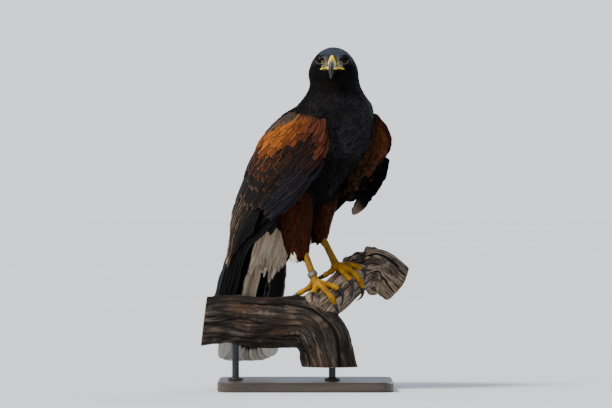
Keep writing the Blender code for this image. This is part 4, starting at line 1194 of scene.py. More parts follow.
def wing_feathers(side, name, surface, rows=26, sides=9):
    """One tier of a wing, each feather a cambered vane, the ones nearer the back on top."""
    count, half, level, tile, blunt, tucked, roots, tips = WING_TIERS[name]
    if side > 0:
        tips = LEFT_TIPS.get(name, tips)
    f = np.linspace(0, 1, count)
    start, stop = curve(roots, f), curve(tips, f)
    b = ladder(rows)
    stretch = 1 + DRAW.uniform(-0.03, 0.02, count)
    wobble = DRAW.normal(0, 0.006, count)
    place = start[:, None] + (stop - start)[:, None] * (b * stretch[:, None])[..., None]
    place[..., 1] += wobble[:, None] * b
    t = place[..., 0]
    here, lateral, gap = feather_ways(side, place, (stop - start)[:, None], tucked)
    wide = half * DRAW.uniform(0.94, 1.06, count)[:, None] * vane_outline(b, blunt, 0.45)
    wide = np.minimum(wide, 2.6 * gap + 2)
    columns = np.linspace(-1, 1, sides)
    x = wide[..., None] * columns * ragged(count, rows, columns, 0.28)
    lift = -2.6 * (1 - ease(b / 0.3))
    slope = tile / gap[..., None]
    camber = -0.055 * wide[..., None] * columns**2 + 0.25 * (np.abs(columns) < 0.1)
    level = level[0] + level[1] * ease((t - 0.42) / 0.3)
    height = level[..., None] + lift[None, :, None] - slope * x + camber
    height = height + 0.25 * DRAW.normal(0, 1, (count, 1, 1)) * b[None, :, None]
    points, fronts = laid_vanes(side, place, lateral, x, height, tucked)
    span_mm = np.linalg.norm(here[:, -1] - here[:, 0], axis=-1)
    barbs = b[None, :, None] * span_mm[:, None, None] + np.abs(x) * 0.8
    tone, rim = wing_colours(side, name, t, f, b, columns)
    label = f"wing_{name}_{'right' if side < 0 else 'left'}"
    obj = long_vanes(label, points, fronts, surface, tone, rim, barbs, columns, b)
    return obj


def long_vanes(name, points, fronts, surface, tone, rim, barbs, columns, b, thick=LONG_THICK):
    """Long feathers as one mesh, each with its own strip of the unwrap."""
    count = len(points)
    obj = vanes(
        name, points, fronts, thick * MM, surface, tone, rim, barbs, columns[None, None], b[None, :, None],
        np.zeros((count, 2)), patch=1.0,
    )
    mesh = obj.data
    uv = np.zeros(len(mesh.loops) * 2, np.float32)
    layer = mesh.uv_layers["OFBake"].data
    layer.foreach_get("uv", uv)
    uv = uv.reshape(-1, 2)
    owner = np.zeros(len(mesh.loops), np.int32)
    mesh.loops.foreach_get("vertex_index", owner)
    each = owner // (len(mesh.vertices) // count)
    uv[:, 0] = (each + 0.5 + 0.9 * uv[:, 0]) / count
    uv[:, 1] = 0.01 + 0.98 * (uv[:, 1] + 0.5)
    layer.foreach_set("uv", uv.ravel())
    return obj


def covert_surface(t):
    """The height of the coverts' common surface over the wing's patch."""
    return np.interp(t, [0, 0.03, 0.08, 0.19, 0.3, 0.42, 0.55], [1.6, 3.2, 3.7, 2.7, 1.4, 0.3, -0.9])


def wing_coverts(side, surface, sides=7):
    """Rows of coverts like tiles, from the greater coverts up to the smallest on the wrist."""
    every = [[] for _ in range(5)]
    for number, (root, tip, count, half) in enumerate(COVERT_ROWS):
        rows = 16 if number < 3 else 11
        f = (np.arange(count) + 0.5 * (number % 2)) / (count - 0.5)
        c0 = 0.04 + 0.93 * f
        t0 = root + 0.02 * f + DRAW.normal(0, 0.004, count)
        t1 = tip + (0.06 * (f - 0.45) if number < 2 else 0.03 * (f - 0.4)) + DRAW.normal(0, 0.016, count)
        c1 = c0 + 0.035 * (1 - f) + DRAW.normal(0, 0.008, count)
        b = ladder(rows)
        place = np.stack([t0[:, None] + (t1 - t0)[:, None] * b, c0[:, None] + (c1 - c0)[:, None] * b], -1)
        here, lateral, gap = feather_ways(side, place, place[:, -1:] - place[:, :1])
        wide = half * DRAW.uniform(0.9, 1.1, count)[:, None] * vane_outline(b, 0.62, 0.5)
        columns = np.linspace(-1, 1, sides)
        x = wide[..., None] * columns * ragged(count, rows, columns, 0.35)
        level = covert_surface(place[..., 0]) - 1.25 + 1.75 * b + 0.25 * DRAW.normal(0, 1, (count, 1)) * b
        height = level[..., None] - 0.5 / gap[..., None] * x - 0.07 * wide[..., None] * columns**2
        points, fronts = laid_vanes(side, place, lateral, x, height)
        length = np.linalg.norm(here[:, -1] - here[:, 0], axis=-1)
        barbs = b[None, :, None] * length[:, None, None] + np.abs(x) * 0.8
        tone, rim = covert_colours(t1, c1, b, columns)
        for pile, piece in zip(every, (points, fronts, tone, rim, barbs)):
            pile.append(piece)
    label = "right" if side < 0 else "left"
    for name, picked in (("greater_coverts", range(0, 3)), ("lesser_coverts", range(3, len(COVERT_ROWS)))):
        points, fronts, tone, rim, barbs = (np.concatenate([pile[i] for i in picked]) for pile in every)
        b = ladder(points.shape[1])
        columns = np.linspace(-1, 1, sides)
        obj = long_vanes(f"{name}_{label}", points, fronts, surface, tone, rim, barbs, columns, b, COVERT_THICK)


# Where the dark centres of the coverts start along the wing, for places from its front to its back
DARK_FROM = [
    (0.0, 0.22), (0.08, 0.20), (0.14, 0.115), (0.25, 0.11), (0.37, 0.13),
    (0.52, 0.175), (0.6, 0.215), (0.7, 0.25), (0.8, 0.275), (1.0, 0.30),
]


def covert_colours(t, c, b, columns):
    """Dark centres and rufous edges, tan towards the tips; lighter towards the back, partly with painted light,
    and darker at the front with painted shade.
    """
    count = len(t)
    shape = (count, len(b), len(columns))
    t, c = t[:, None, None] + np.zeros(shape), c[:, None, None] + np.zeros(shape)
    tip = np.broadcast_to(b[None, :, None], shape)
    luck = DRAW.random((count, 1, 1)) + np.zeros(shape)
    leaning = np.where(DRAW.random((count, 1, 1)) < 0.5, -1, 1) * columns
    side = np.where(leaning > 0, leaning, 0.72 * np.abs(leaning)) + np.zeros(shape)
    one = np.ones(shape)
    turn = np.interp(c, *np.transpose(DARK_FROM))
    dark = ease((t - turn - 0.05 * (luck - 0.5)) / 0.05)
    # front: the front of the shoulder near the wrist, darkened with painted shade
    front = ease((0.48 - c) / 0.16) * ease((0.34 - t) / 0.1)
    # The upper back part of the coverts: brighter chestnut, with painted light from above laid over it
    bright_and_lit = ease((c - 0.50) / 0.25) * ease((0.40 - t) / 0.14)
    low = ease((t - 0.38) / 0.10)
    shade = ease((0.58 - c) / 0.2) * ease((t - turn - 0.01) / 0.07)
    slate = ease((0.36 - c) / 0.12) * ease((t - 0.24) / 0.08)
    edge_colour = colours(
        (RUFOUS, one), (RUFOUS_BRIGHT, bright_and_lit * (0.15 + 0.6 * luck)), (RUFOUS_DULL_SHADED, 0.85 * front),
        ((0.088, 0.054, 0.036), 0.85 * low), ((0.020, 0.008, 0.0042), 0.85 * shade),
        ((0.011, 0.0105, 0.015), 0.85 * slate),
    )
    centre = colours(
        (RUFOUS, one), (RUFOUS_BRIGHT, 0.5 * bright_and_lit), (RUFOUS_DULL_SHADED, front), ((0.0042, 0.0031, 0.0029), dark),
        ((0.0052, 0.0050, 0.0072), slate),
    )
    border = ease((side - 0.36 - 0.38 * low - 0.14 * luck) / 0.30)
    border = np.maximum(border, 0.25 * (1 - low) * ease((tip - 0.94) / 0.05)) * (1 - 0.35 * low)
    scapular = scapular_zone(t, c)[..., None]
    edge_colour = edge_colour * (1 - scapular) + np.array(TAN) * 0.8 * scapular
    centre = centre * (1 - scapular) + np.array(SCAPULAR) * scapular
    tone = centre * (1 - border[..., None]) + edge_colour * border[..., None]
    tone = tone * (0.75 + 0.5 * DRAW.random((count, 1, 1)))[..., None]
    return tone, edge_colour


def wing_colours(side, name, t, f, b, columns):
    """The tone and rim over the feathers of one tier."""
    shape = (*t.shape, columns.size)
    one = np.ones(shape)
    inner_feather = np.broadcast_to(ease((f - 0.35) / 0.4)[:, None, None], shape)
    if name == "primaries":
        tone = colours((SOOT, one), ((0.0032, 0.0030, 0.0034), 0.5 * one))
        rim = colours((SOOT, one), ((0.014, 0.012, 0.011), 0.6 * one * (side < 0)))
    elif name == "secondaries":
        tone = colours(((0.0035, 0.0032, 0.0034), one), ((0.012, 0.0085, 0.0065), 0.8 * inner_feather))
        rim = colours(((0.010, 0.0075, 0.0065), one), ((0.34, 0.235, 0.155), 0.85 * inner_feather))
    else:
        worn = ease((b - 0.80) / 0.14)[None, :, None] * one * (side > 0)
        sooty = SOOT, one * (side > 0)
        tone = colours(((0.0065, 0.0062, 0.0088), one), sooty, ((0.17, 0.12, 0.08), 0.9 * worn))
        rim = colours(((0.016, 0.016, 0.022), one), ((0.22, 0.16, 0.11), worn))
    return tone, rim


def tail_point(x, b, height):
    """Points on the tail: x across it, b from root to tip, height to its upper side."""
    x, b, height = np.broadcast_arrays(np.asarray(x, float), np.asarray(b, float), np.asarray(height, float))
    ahead = curve(TAIL_LINE, b + 0.01) - curve(TAIL_LINE, b - 0.01)
    back = unit(np.stack([ahead[..., 2], ahead[..., 2] * 0, -ahead[..., 0]], -1))
    back *= np.where(back[..., :1] > 0, -1, 1)
    made = curve(TAIL_LINE, b) + back * (height - 0.0016 * x * x)[..., None]
    made[..., 1] += x
    return made, back


def tail_plumes(
    name, surface, plumes, tone, rim, rows=26, sides=9, blunt=0.88, waist=0.5, camber=-0.05, split=0.25
):
    """Feathers of the tail: each plume is half width, level, start, end, and middle at root and tip."""
    plumes = np.array(plumes, float)
    half, level, start, end, near, far = plumes.T
    b = ladder(rows)
    count = len(plumes)
    place = start[:, None] + (end - start)[:, None] * b
    middle = near[:, None] + (far - near)[:, None] * b
    columns = np.linspace(-1, 1, sides)
    wide = half[:, None] * vane_outline(b, blunt, waist)
    x = wide[..., None] * columns * ragged(count, rows, columns, split)
    height = level[:, None, None] + camber * wide[..., None] * columns**2
    spots, back = tail_point(middle[..., None] + x, place[..., None], height)
    fronts = model_direction(back)
    run = (end - start) * TAIL_RUN
    barbs = b[None, :, None] * run[:, None, None] + np.abs(x) * 0.8
    shape = (count, rows, sides)
    base = np.broadcast_to(b[None, :, None], shape)
    looks = tone(base, shape), rim(base, shape)
    return long_vanes(name, world(spots), fronts, surface, *looks, barbs, columns, b)


# Half widths of the tail's feathers, of the coverts under and over it and of the flank's lobes
QUILL_HALF, UNDER_HALF, OVER_HALF, FLANK_HALF = 15.5, 5.4, 7.5, 6.4
# Height of one layer of tail feathers
TAIL_LAYER = 0.9
# Tiers of coverts under and over the tail: number, half spread at root and tip, start and end along it
UNDERTAIL = [
    (19, 29, 34, 0.22, 0.46),
    (21, 31, 35, 0.15, 0.42),
    (21, 31, 34, 0.08, 0.36),
    (19, 29, 31, -0.02, 0.27),
]
UPPERTAIL = [(9, 12, 15, 0.2, 0.42), (9, 14, 17, 0.06, 0.31), (8, 15, 17, -0.06, 0.2)]


def build_tail(surface, soft):
    """Black tail feathers with white roots and tips, their white coverts, and dark lobes on the flank."""
    plumes = []
    for pair in range(6):
        g = pair / 5
        for sign in (-1, 1):
            level = -2 * TAIL_LAYER * pair - TAIL_LAYER if sign > 0 else -1.3 * TAIL_LAYER * pair
            end = 1.0 - 0.055 * g * g + DRAW.uniform(-0.006, 0.004)
            start, near, far = 0.26, 1.5 + 17 * g, 2.5 + 30 * g
            if sign < 0:
                start, near, far = 0.26 - 0.26 * g, 1.5 + 46 * g, 2.5 + 55 * g
            plumes.append((QUILL_HALF, level, start, end, sign * near, sign * far))

    def tone(b, shape):
        one = np.ones(shape)
        white_ends = (WHITE, ease((b - 0.855) / 0.03)), (WHITE, ease((0.12 - b) / 0.08))
        return colours((SOOT, one), ((0.012, 0.0105, 0.01), 0.5 * one), *white_ends)

    def rim(b, shape):
        one = np.ones(shape)
        pale = np.arange(shape[0])[:, None, None] >= shape[0] - 3
        worn = (0.30, 0.27, 0.25), 0.8 * pale * one
        return colours(((0.012, 0.011, 0.0105), one), worn, (WHITE, ease((b - 0.84) / 0.03)))

    quills = tail_plumes("tail_feathers", surface, plumes, tone, rim)

    # Cream coverts, some plumes darker tan at random and paler towards the tips; the darker plumes are partly
    # real variation and partly painted shade in the gaps between plumes
    def white(b, shape):
        luck = DRAW.random((shape[0], 1, 1)) + np.zeros(shape)
        tips = (0.62, 0.53, 0.46), 0.6 * ease((b - 0.3) / 0.5) * luck
        return colours(((0.36, 0.265, 0.175), np.ones(shape)), (CREAM, luck), tips)

    under = []
    base = -2 * TAIL_LAYER * 6
    for tier, (number, near, far, start, end) in enumerate(UNDERTAIL):
        for k in range(number):
            g = 2 * k / (number - 1) - 1 + DRAW.uniform(-0.05, 0.05)
            middle = far * g - 15
            if tier == 0 and -17 < middle < 0 or tier < 2 and middle < -43:
                continue
            reach = 0.19 if tier == 0 and middle < -16 else 0.0
            stop = end + reach - 0.05 * g * g + DRAW.uniform(-0.035, 0.035)
            level = base - 1.0 - 2.3 * tier - 1.0 * DRAW.random()
            under.append((UNDER_HALF, level, start, stop, near * g - 17, middle))
    plume = {"rows": 16, "sides": 5, "blunt": 0.25, "waist": 0.4, "split": 0.6}
    below = tail_plumes("undertail_coverts", soft, under, white, white, camber=0.12, **plume)
    flank = []
    for k in range(14):
        across = -68 + 38 * (k % 7) / 6 + DRAW.uniform(-1.5, 1.5)
        row = k // 7
        level = -21 - 2.5 * row - DRAW.random()
        stop = 0.045 - 0.05 * row + DRAW.uniform(-0.03, 0.025)
        flank.append((FLANK_HALF, level, -0.30, stop, across * 0.9, across))

    def black(b, shape):
        return colours((SOOT, np.ones(shape)), ((0.009, 0.008, 0.008), 0.4 * b))

    lobe = {"rows": 14, "sides": 7, "blunt": 0.62, "waist": 0.5}
    lobes = tail_plumes("flank_feathers", surface, flank, black, black, camber=-0.06, **lobe)
    over = []
    for tier, (number, near, far, start, end) in enumerate(UPPERTAIL):
        for k in range(number):
            g = 2 * k / (number - 1) - 1
            stop = end + DRAW.uniform(-0.03, 0.02)
            over.append((OVER_HALF, 1.3 + 1.5 * tier + 0.5 * (k % 2), start, stop, near * g, far * g))

    def pale(b, shape):
        one = np.ones(shape)
        return colours((BROWN_BLACK, one), (WHITE, ease((b - 0.35) / 0.25)))

    above = tail_plumes("uppertail_coverts", soft, over, pale, white, camber=-0.1, **plume)
    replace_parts(tail_core(), "tail")


def tail_core():
    """The fleshy root of the tail, hidden under its coverts."""
    made, tree, shader = new_material("rump skin", Roughness=0.85)
    grain = noise(tree, 260.0, 3.0, object_place(tree))
    dress(tree, shader, tinted(tree, grain, (0.3, 0.7), (0.20, 0.17, 0.14), (0.42, 0.37, 0.31)))
    b = np.linspace(0, 0.42, 24)
    table = curve(RUMP, np.linspace(0, 1, 24))
    turns = circle(40)
    width = table[:, 2:3] - 3
    depth = 0.6 * table[:, 3:4] - 2
    shrink = np.sqrt(np.clip(1 - (np.linspace(0, 1, 24) - 0.75) / 0.26, 0, 1))[:, None]
    x = np.cos(turns) * width * shrink
    up = np.sin(turns) * depth * shrink + table[:, 1:2]
    spots, _ = tail_point(x, b[:, None], up)
    return capped_tube("rump", world(spots), made)


# The face


def head_ring(y, z, half_x, half_z, pinch, sides):
    """A ring across the head's forward axis, pinched towards a ridge on top."""
    a = circle(sides)
    narrow = 1 - pinch * np.maximum(np.sin(a), 0)
    return np.stack([half_x * narrow * np.cos(a), np.full(sides, y), z + half_z * np.sin(a)], -1)


def head_loft(rings, rows, sides):
    """A fine loft through rings of the head's frame, given as y, z, half width, half height, pinch."""
    table = curve(rings, np.linspace(0, 1, rows))
    return np.stack([head_ring(*row, sides) for row in table])


def eye_material(name, centre, look):
    """A wet dark eye: black pupil, brown iris with fine spokes, darker rim."""
    made, tree, shader = new_material(
        name, Roughness=0.05, Coat_Weight=0.03, Coat_Roughness=0.02, IOR=1.33, Specular_IOR_Level=0.14
    )
    links = {0: object_place(tree), 1: tuple(centre)}
    offset = add_node(tree, "ShaderNodeVectorMath", links, operation="SUBTRACT").outputs[0]
    facing = add_node(tree, "ShaderNodeVectorMath", {0: offset}, operation="NORMALIZE").outputs[0]
    dot = vector_maths(tree, "DOT_PRODUCT", facing, look)
    spokes = noise(tree, 14.0, 4.0, facing)
    iris = tinted(tree, spokes, (0.35, 0.65), (0.0035, 0.0016, 0.001), (0.011, 0.0042, 0.0016))
    rim = tinted(tree, dot, (0.72, 0.80), (0.006, 0.004, 0.003), iris)
    dress(tree, shader, tinted(tree, dot, (0.905, 0.915), rim, (0.001, 0.001, 0.001)))
    return made


def skin_material(name, low, high, dark, scale, rough, relief, extra):
    """Bare scaly skin: a mottled colour with darker creases among small scales, and extra tints over it."""
    looks = {"Roughness": rough, "Subsurface_Weight": 0.06, "Subsurface_Radius": (0.004, 0.002, 0.001)}
    made, tree, shader = new_material(name, Specular_IOR_Level=0.15, **looks)
    where = object_place(tree)
    cells = add_node(tree, "ShaderNodeTexVoronoi", {"Vector": where, "Scale": scale}, feature="DISTANCE_TO_EDGE")
    crease = span(tree, cells.outputs["Distance"], 0.0, 0.12)
    mottle = noise(tree, 90.0, 3.0, where)
    colour = tinted(tree, mottle, (0.35, 0.65), low, high)
    colour = blend(tree, crease, blend(tree, 0.38, colour, dark), colour)
    dress(tree, shader, extra(tree, colour), crease, 0.6, relief)
    return made


# The eye's opening: half width, height above the middle, its slant, and height below the middle
EYE_OPENING = (5.2, 4.1, 0.7, 4.3)
# Rows of a lid: how far out from the eye's opening, how proud and how pale
LID_ROWS = [
    (0.0, 0.15, 1), (0.15, 0.5, 1), (0.45, 0.65, 1), (0.8, 0.6, 0.3), (1.3, 0.5, 0),
    (2.2, 0.2, 0), (3.3, -0.5, 0), (3.4, -2.4, 0), (1.2, -2.0, 0),
]


def build_eyes():
    """Eyeballs of the real depth, with a dark lid round each whose edge is pale."""
    yellows = (0.115, 0.080, 0.022), (0.17, 0.125, 0.036), (0.02, 0.015, 0.01)
    lid_skin = skin_material("lid", *yellows, 900.0, 0.6, 0.0001, lid_tint)
    for label, sign in (("left", 1), ("right", -1)):
        middle, look_local, side_local, up_local = eye_axes(sign)
        centre = head_world(middle)
        look, side, up = (unit(head_world(middle + d) - centre) for d in (look_local, side_local, up_local))
        surface = eye_material("eye " + label, centre, look)
        lat = np.linspace(0.001, math.pi - 0.001, 40)[:, None, None]
        lon = circle(56)[None, :, None]
        swell = 1 + 0.035 * np.exp(-((lat / 0.5) ** 2))
        rings = look * np.cos(lat) + (side * np.cos(lon) + up * np.sin(lon)) * np.sin(lat)
        ball = capped_tube("eyeball_" + label, centre + rings * swell * EYE_RADIUS * MM, surface)
        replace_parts(ball, "eye_" + label)
        turns = circle(72)
        above = np.sin(turns) > 0
        open_x, upper, slant, lower = EYE_OPENING
        open_z = np.where(above, upper + slant * np.cos(turns), lower)
        rows, rims = [], []
        for out_by, proud, pale in LID_ROWS:
            flat_x, flat_z = (open_x + out_by) * np.cos(turns), (open_z + out_by) * np.sin(turns)
            ball_depth = np.sqrt(np.maximum(EYE_RADIUS**2 - flat_x**2 - flat_z**2, 6.0))
            skin_depth = socket_height(flat_x, flat_z)
            depth = np.where(out_by < 1.3, ball_depth, np.maximum(skin_depth, 0))
            depth = depth if out_by < 0.6 else np.maximum(ball_depth * (out_by < 2), skin_depth - 0.3)
            offset = side * flat_x[:, None] + up * flat_z[:, None] + look * (depth + proud)[:, None]
            rows.append(centre + offset * MM)
            # The upper lid's pale edge stays faint: painted shade under the brow
            rims.append(np.where(above, 0.12 * pale, 0.85 * pale))
        ring_object("lid_" + label, np.stack(rows), lid_skin, {"pale": np.concatenate(rims)})


def lid_tint(tree, colour):
    """Lids are pale yellow along their edge and dark beyond it."""
    pale = attribute(tree, "pale")
    return tinted(tree, pale, (0.1, 0.8), (0.0024, 0.0022, 0.0024), colour)


def gape_line(proud):
    """The yellow gape from the cere to below the eye, laid on the skin of the face."""
    return [(x, GAPE_DEPTHS[k] + proud, z, r) for k, (x, z, r) in enumerate(GAPE)]


# Rings of the face's horn in the head's frame: y, z, half width, half height, pinch
CERE = [
    (18, 15.2, 7.6, 12.0, 0.25),
    (24, 16.0, 6.8, 11.4, 0.30),
    (30, 16.8, 5.9, 10.8, 0.34),
    (37, 16.7, 4.9, 9.9, 0.38),
    (41.5, 15.2, 4.3, 8.5, 0.40),
]
NOSTRIL = np.array([6.0, 37.2, 19.6])
# The underside of the cere, over the gape
CERE_FLOOR = 6.2
# Bristles on each side of the face
BRISTLES = 150
UPPER_BILL = [
    (40.0, 14.8, 4.0, 7.9, 0.40),
    (42.5, 14.7, 4.2, 8.1, 0.42),
    (46, 14.0, 4.1, 7.8, 0.45),
    (51, 11.6, 3.7, 7.2, 0.45),
    (55.5, 8.0, 3.1, 6.6, 0.45),
    (58.5, 3.8, 2.4, 4.8, 0.35),
    (60, -0.8, 1.25, 2.8, 0.0),
    (60.2, -3.0, 0.4, 0.9, 0.0),
]
LOWER_BILL = [
    (20, 2.8, 8.2, 4.0, 0.0),
    (32, 3.2, 5.4, 3.6, 0.0),
    (42, 4.0, 3.0, 2.7, 0.0),
    (47, 4.8, 1.9, 1.7, 0.0),
    (50, 5.2, 0.9, 0.8, 0.0),
]


def build_bill():
    """Yellow cere with nostrils and gape, and a hooked blue-grey bill with a black tip."""
    cere_rings = head_loft(CERE, 26, 56)
    cere_rings[..., 2] = np.maximum(cere_rings[..., 2], CERE_FLOOR)
    parts = [tube_arrays(cere_rings)]
    for sign in (-1, 1):
        gape = gape_line(0.7)
        line = [(sign * x, y, z) for x, y, z, _ in gape]
        radii = np.interp(np.linspace(0, len(gape) - 1, 40), range(len(gape)), [r for _, _, _, r in gape])
        parts.append(tube_arrays(tube_rings(curve(line, np.linspace(0, 1, 40)), radii, 20)))
    parts = [(head_world(points), faces) for points, faces in parts]

    def nostrils(tree, colour):
        where = object_place(tree)
        for sign in (-1, 1):
            far = vector_maths(tree, "DISTANCE", where, head_world(NOSTRIL * (sign, 1, 1)))
            colour = tinted(tree, far, (0.0012, 0.0021), (0.01, 0.007, 0.004), colour)
        base = vector_maths(tree, "DISTANCE", where, head_world((0, 43.5, 17)))
        colour = tinted(tree, base, (0.003, 0.008, 0.35, 0.0), colour, (0.75, 0.68, 0.42))
        # Below, pale is a painted whitish highlight over the lower front of the cere, above the gape
        upward = vector_maths(tree, "DOT_PRODUCT", where, HEAD_UP)
        level = float(head_world((0, 40, 15)) @ HEAD_UP)
        ahead = vector_maths(tree, "DOT_PRODUCT", where, HEAD_FORWARD)
        front = float(head_world((0, 37, 12)) @ HEAD_FORWARD)
        pale = span(tree, upward, level, level - 0.004)
        pale = maths(tree, "MULTIPLY", pale, span(tree, ahead, front - 0.006, front))
        low = float(head_world((0, 40, 9.5)) @ HEAD_UP)
        pale = maths(tree, "MULTIPLY", pale, span(tree, upward, low - 0.001, low + 0.0015))
        return blend(tree, maths(tree, "MULTIPLY", pale, 0.75), colour, (0.62, 0.56, 0.50))

    yellows = (0.84, 0.56, 0.006), (0.95, 0.74, 0.03), (0.30, 0.17, 0.01)
    surface = skin_material("cere", *yellows, 1300.0, 0.42, 0.00008, nostrils)
    cere = remeshed("cere_skin", parts, CERE_GRAIN, 4, surface)
    dent(cere, [head_world(NOSTRIL * (sign * 1.1, 1, 1)) for sign in (-1, 1)], 1.7, 1.5)
    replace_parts(cere, "cere")
    horn, tree, shader = new_material("bill horn", Roughness=0.3, Coat_Weight=0.12, Coat_Roughness=0.2)
    where = object_place(tree)
    ahead = vector_maths(tree, "DOT_PRODUCT", where, HEAD_FORWARD)
    upward = vector_maths(tree, "DOT_PRODUCT", where, HEAD_UP)
    start = float(head_world((0, 42, 15)) @ HEAD_FORWARD)
    stop = float(head_world((0, 60, 2)) @ HEAD_FORWARD)
    height = float(head_world((0, 42, 16)) @ HEAD_UP)
    reach = span(tree, upward, height, height - 0.018, 0.0, 0.5)
    reach = maths(tree, "ADD", span(tree, ahead, start, stop), reach)
    streaks = noise(tree, 240.0, 3.0, stretched(tree, where, (1.0, 0.25, 1.0)))
    base = tinted(tree, streaks, (0.35, 0.65), (0.075, 0.098, 0.130), (0.130, 0.160, 0.200))
    dress(tree, shader, tinted(tree, reach, (0.25, 0.85), base, (0.006, 0.006, 0.007)), streaks, 0.2, 0.0002)
    upper = capped_tube("upper_bill", head_world(head_loft(UPPER_BILL, 60, 48)), horn)
    dark, tree, shader = new_material("lower bill horn", Roughness=0.5, IOR=1.3)
    grain = noise(tree, 240.0, 3.0, object_place(tree))
    dress(tree, shader, tinted(tree, grain, (0.3, 0.7), (0.007, 0.006, 0.006), (0.022, 0.019, 0.018)))
    lower = capped_tube("lower_bill", head_world(head_loft(LOWER_BILL, 36, 36)), dark)
    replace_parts(upper, "bill_upper")
    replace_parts(lower, "bill_lower")
    build_bristles()


def tube_rings(line, radii, sides, hint=(0.0, 0.0, 1.0)):
    """Rings of points round a line."""
    line = np.asarray(line, float)
    ahead = unit(np.gradient(line, axis=0))
    side = unit(np.cross(ahead, np.asarray(hint)))
    up = np.cross(side, ahead)
    a = circle(sides)[None, :, None]
    radii = np.asarray(radii, float).reshape(-1, 1, 1) * np.ones((len(line), 1, 1))
    return line[:, None] + (side[:, None] * np.cos(a) + up[:, None] * np.sin(a)) * radii


def dent(obj, spots, radius, depth):
    """Presses small pits into a mesh."""
    places, normals = read_points(obj.data), read_points(obj.data, "normal")
    for spot in spots:
        far = np.linalg.norm(places - spot, axis=1) / MM
        places = places - normals * (depth * np.exp(-((far / radius) ** 4)) * MM)[:, None]
    move_points(obj.data, places)


def build_bristles():
    """Fine pale bristles on the lores, between eye and cere."""
    made, tree, shader = new_material("bristles", Roughness=0.6, Sheen_Weight=0.1)
    grain = noise(tree, 500.0, 2.0, object_place(tree))
    dress(tree, shader, tinted(tree, grain, (0.3, 0.7), (0.10, 0.09, 0.08), (0.42, 0.38, 0.31)))
    start = 0
    every_points, every_faces = [], []
    for sign in (-1, 1):
        for _ in range(BRISTLES):
            root = np.array([sign * DRAW.uniform(7.5, 13.5), DRAW.uniform(25, 33.5), DRAW.uniform(9.5, 20)])
            lean = np.array([sign * DRAW.uniform(0.1, 0.6), DRAW.uniform(0.3, 0.7), DRAW.uniform(-0.3, 0.5)])
            size = DRAW.uniform(2.4, 4.6)
            sag = np.array([0, 0, -0.35 * size])
            line = [root + unit(lean) * size * f + sag * f * f for f in (0, 0.35, 0.7, 1.0)]
            rings = tube_rings(line, [0.13, 0.11, 0.075, 0.03], 4)
            points, faces = tube_arrays(rings)
            every_points.append(head_world(points))
            every_faces += [[start + i for i in face] for face in faces]
            start += len(points)
    mesh = mesh_from("lore_bristles", np.concatenate(every_points), every_faces)
    fix_normals(add_piece("lore_bristles", mesh, made))


# Legs, feet and claws

TOE_RADIUS = 4.0
PALM_SHAPE = (1.15, 1.15, 0.9)
PALM_RADIUS = 7.4
# Lengths of the plates on shank and toes, and how high they stand
SHANK_PLATE, TOE_PLATE, PLATE_RISE = 4.6, 2.7, 0.32
# Radii of the shank at shares of the way from hock to foot
SHANK_RADII = [(-0.08, 5.6), (0.1, 5.2), (0.4, 4.7), (0.8, 5.0), (0.93, 5.9), (1.0, 6.4)]
FOOT = {"right": (4, -20, 155), "left": (5, 20, 177.5)}
HOCK = {"right": (-28, -26, 227), "left": (-37, 15, 242)}
GRIP_START = np.array([38.0, -4.0, 127.5])
GRIP_END = np.array([67.0, 21.0, 151.5])
GRIP_RADIUS = 24.5
# Each toe: heading and bend in degrees, length, rise, claw length, turn of the claw
TOES = {
    "right_middle": (-13, 5, 46, 1.8, 20, 39),
    "right_inner": (30, -16, 33, 0.7, 23, -74),
    "right_outer": (-58, 0, 29, 5, 12, 0),
    "right_hind": (222, 20, 33, 6.5, 18, -30),
    "left_inner": (-18, 7, 33, 0.3, 27, -46),
    "left_middle": (14, -22, 54, 1.5, 23, -14),
    "left_outer": (56, -45, 37, 0.2, 15, -79),
    "left_hind": (240, 12, 26, 2.4, 20, -75),
}


# The leg band: radii and heights round its section
BAND_PROFILE = [
    (6.25, -2.7), (6.55, -2.85), (7.0, -2.85), (7.15, -2.7), (7.15, 2.7), (7.0, 2.85), (6.55, 2.85), (6.25, 2.7),
]


def grip(along, around, lift):
    """A point on the limb: along it, around it from its top, and off its bark."""
    axis = unit(GRIP_END - GRIP_START)
    top = unit(AXIS_Z - axis * axis[2])
    front = AXIS_U - axis * (AXIS_U @ axis) - top * (AXIS_U @ top)
    angle = around / (GRIP_RADIUS + lift)
    out = top * math.cos(angle) + unit(front) * math.sin(angle)
    return GRIP_START + axis * along + out * (GRIP_RADIUS + lift)


def grip_place(foot):
    axis = unit(GRIP_END - GRIP_START)
    offset = world(foot) / MM - GRIP_START
    along = offset @ axis
    return along, np.linalg.norm(offset - axis * along) - GRIP_RADIUS


def toe_lines(name, foot):
    """The middle lines of a toe and of its claw, as x, y, z, radius in millimetres."""
    heading, bend, length, rise, claw, turn = TOES[name]
    along, lift = grip_place(foot)
    around, steps = 0.0, 72
    run = (length + claw) / steps
    toe, talon = [], []
    for k in range(steps + 1):
        f = min(k * run / length, 1.0)
        g = max((k * run - length) / claw, 0.0)
        low = TOE_RADIUS * 0.9
        height = low + (lift - low) * (1 - float(ease(f * 2.2))) + rise * f
        height += 2.4 * math.sin(math.pi * g) - 2.6 * g
        spot = grip(along, around, max(height, 0.9))
        knuckle = 0.42 * math.cos(2 * math.pi * f * 2.5)
        if g == 0:
            toe.append((*spot, (TOE_RADIUS + 0.7 * (1 - f) + knuckle) * (1 - 0.1 * f)))
        if g > 0 or k * run > length - 3:
            talon.append((*spot, 3.0 * (1 - g) ** 0.7 + 0.22))
        aim = math.radians(heading + bend * f + turn * g)
        along += math.sin(aim) * run
        around += math.cos(aim) * run
    return np.array(toe), np.array(talon)


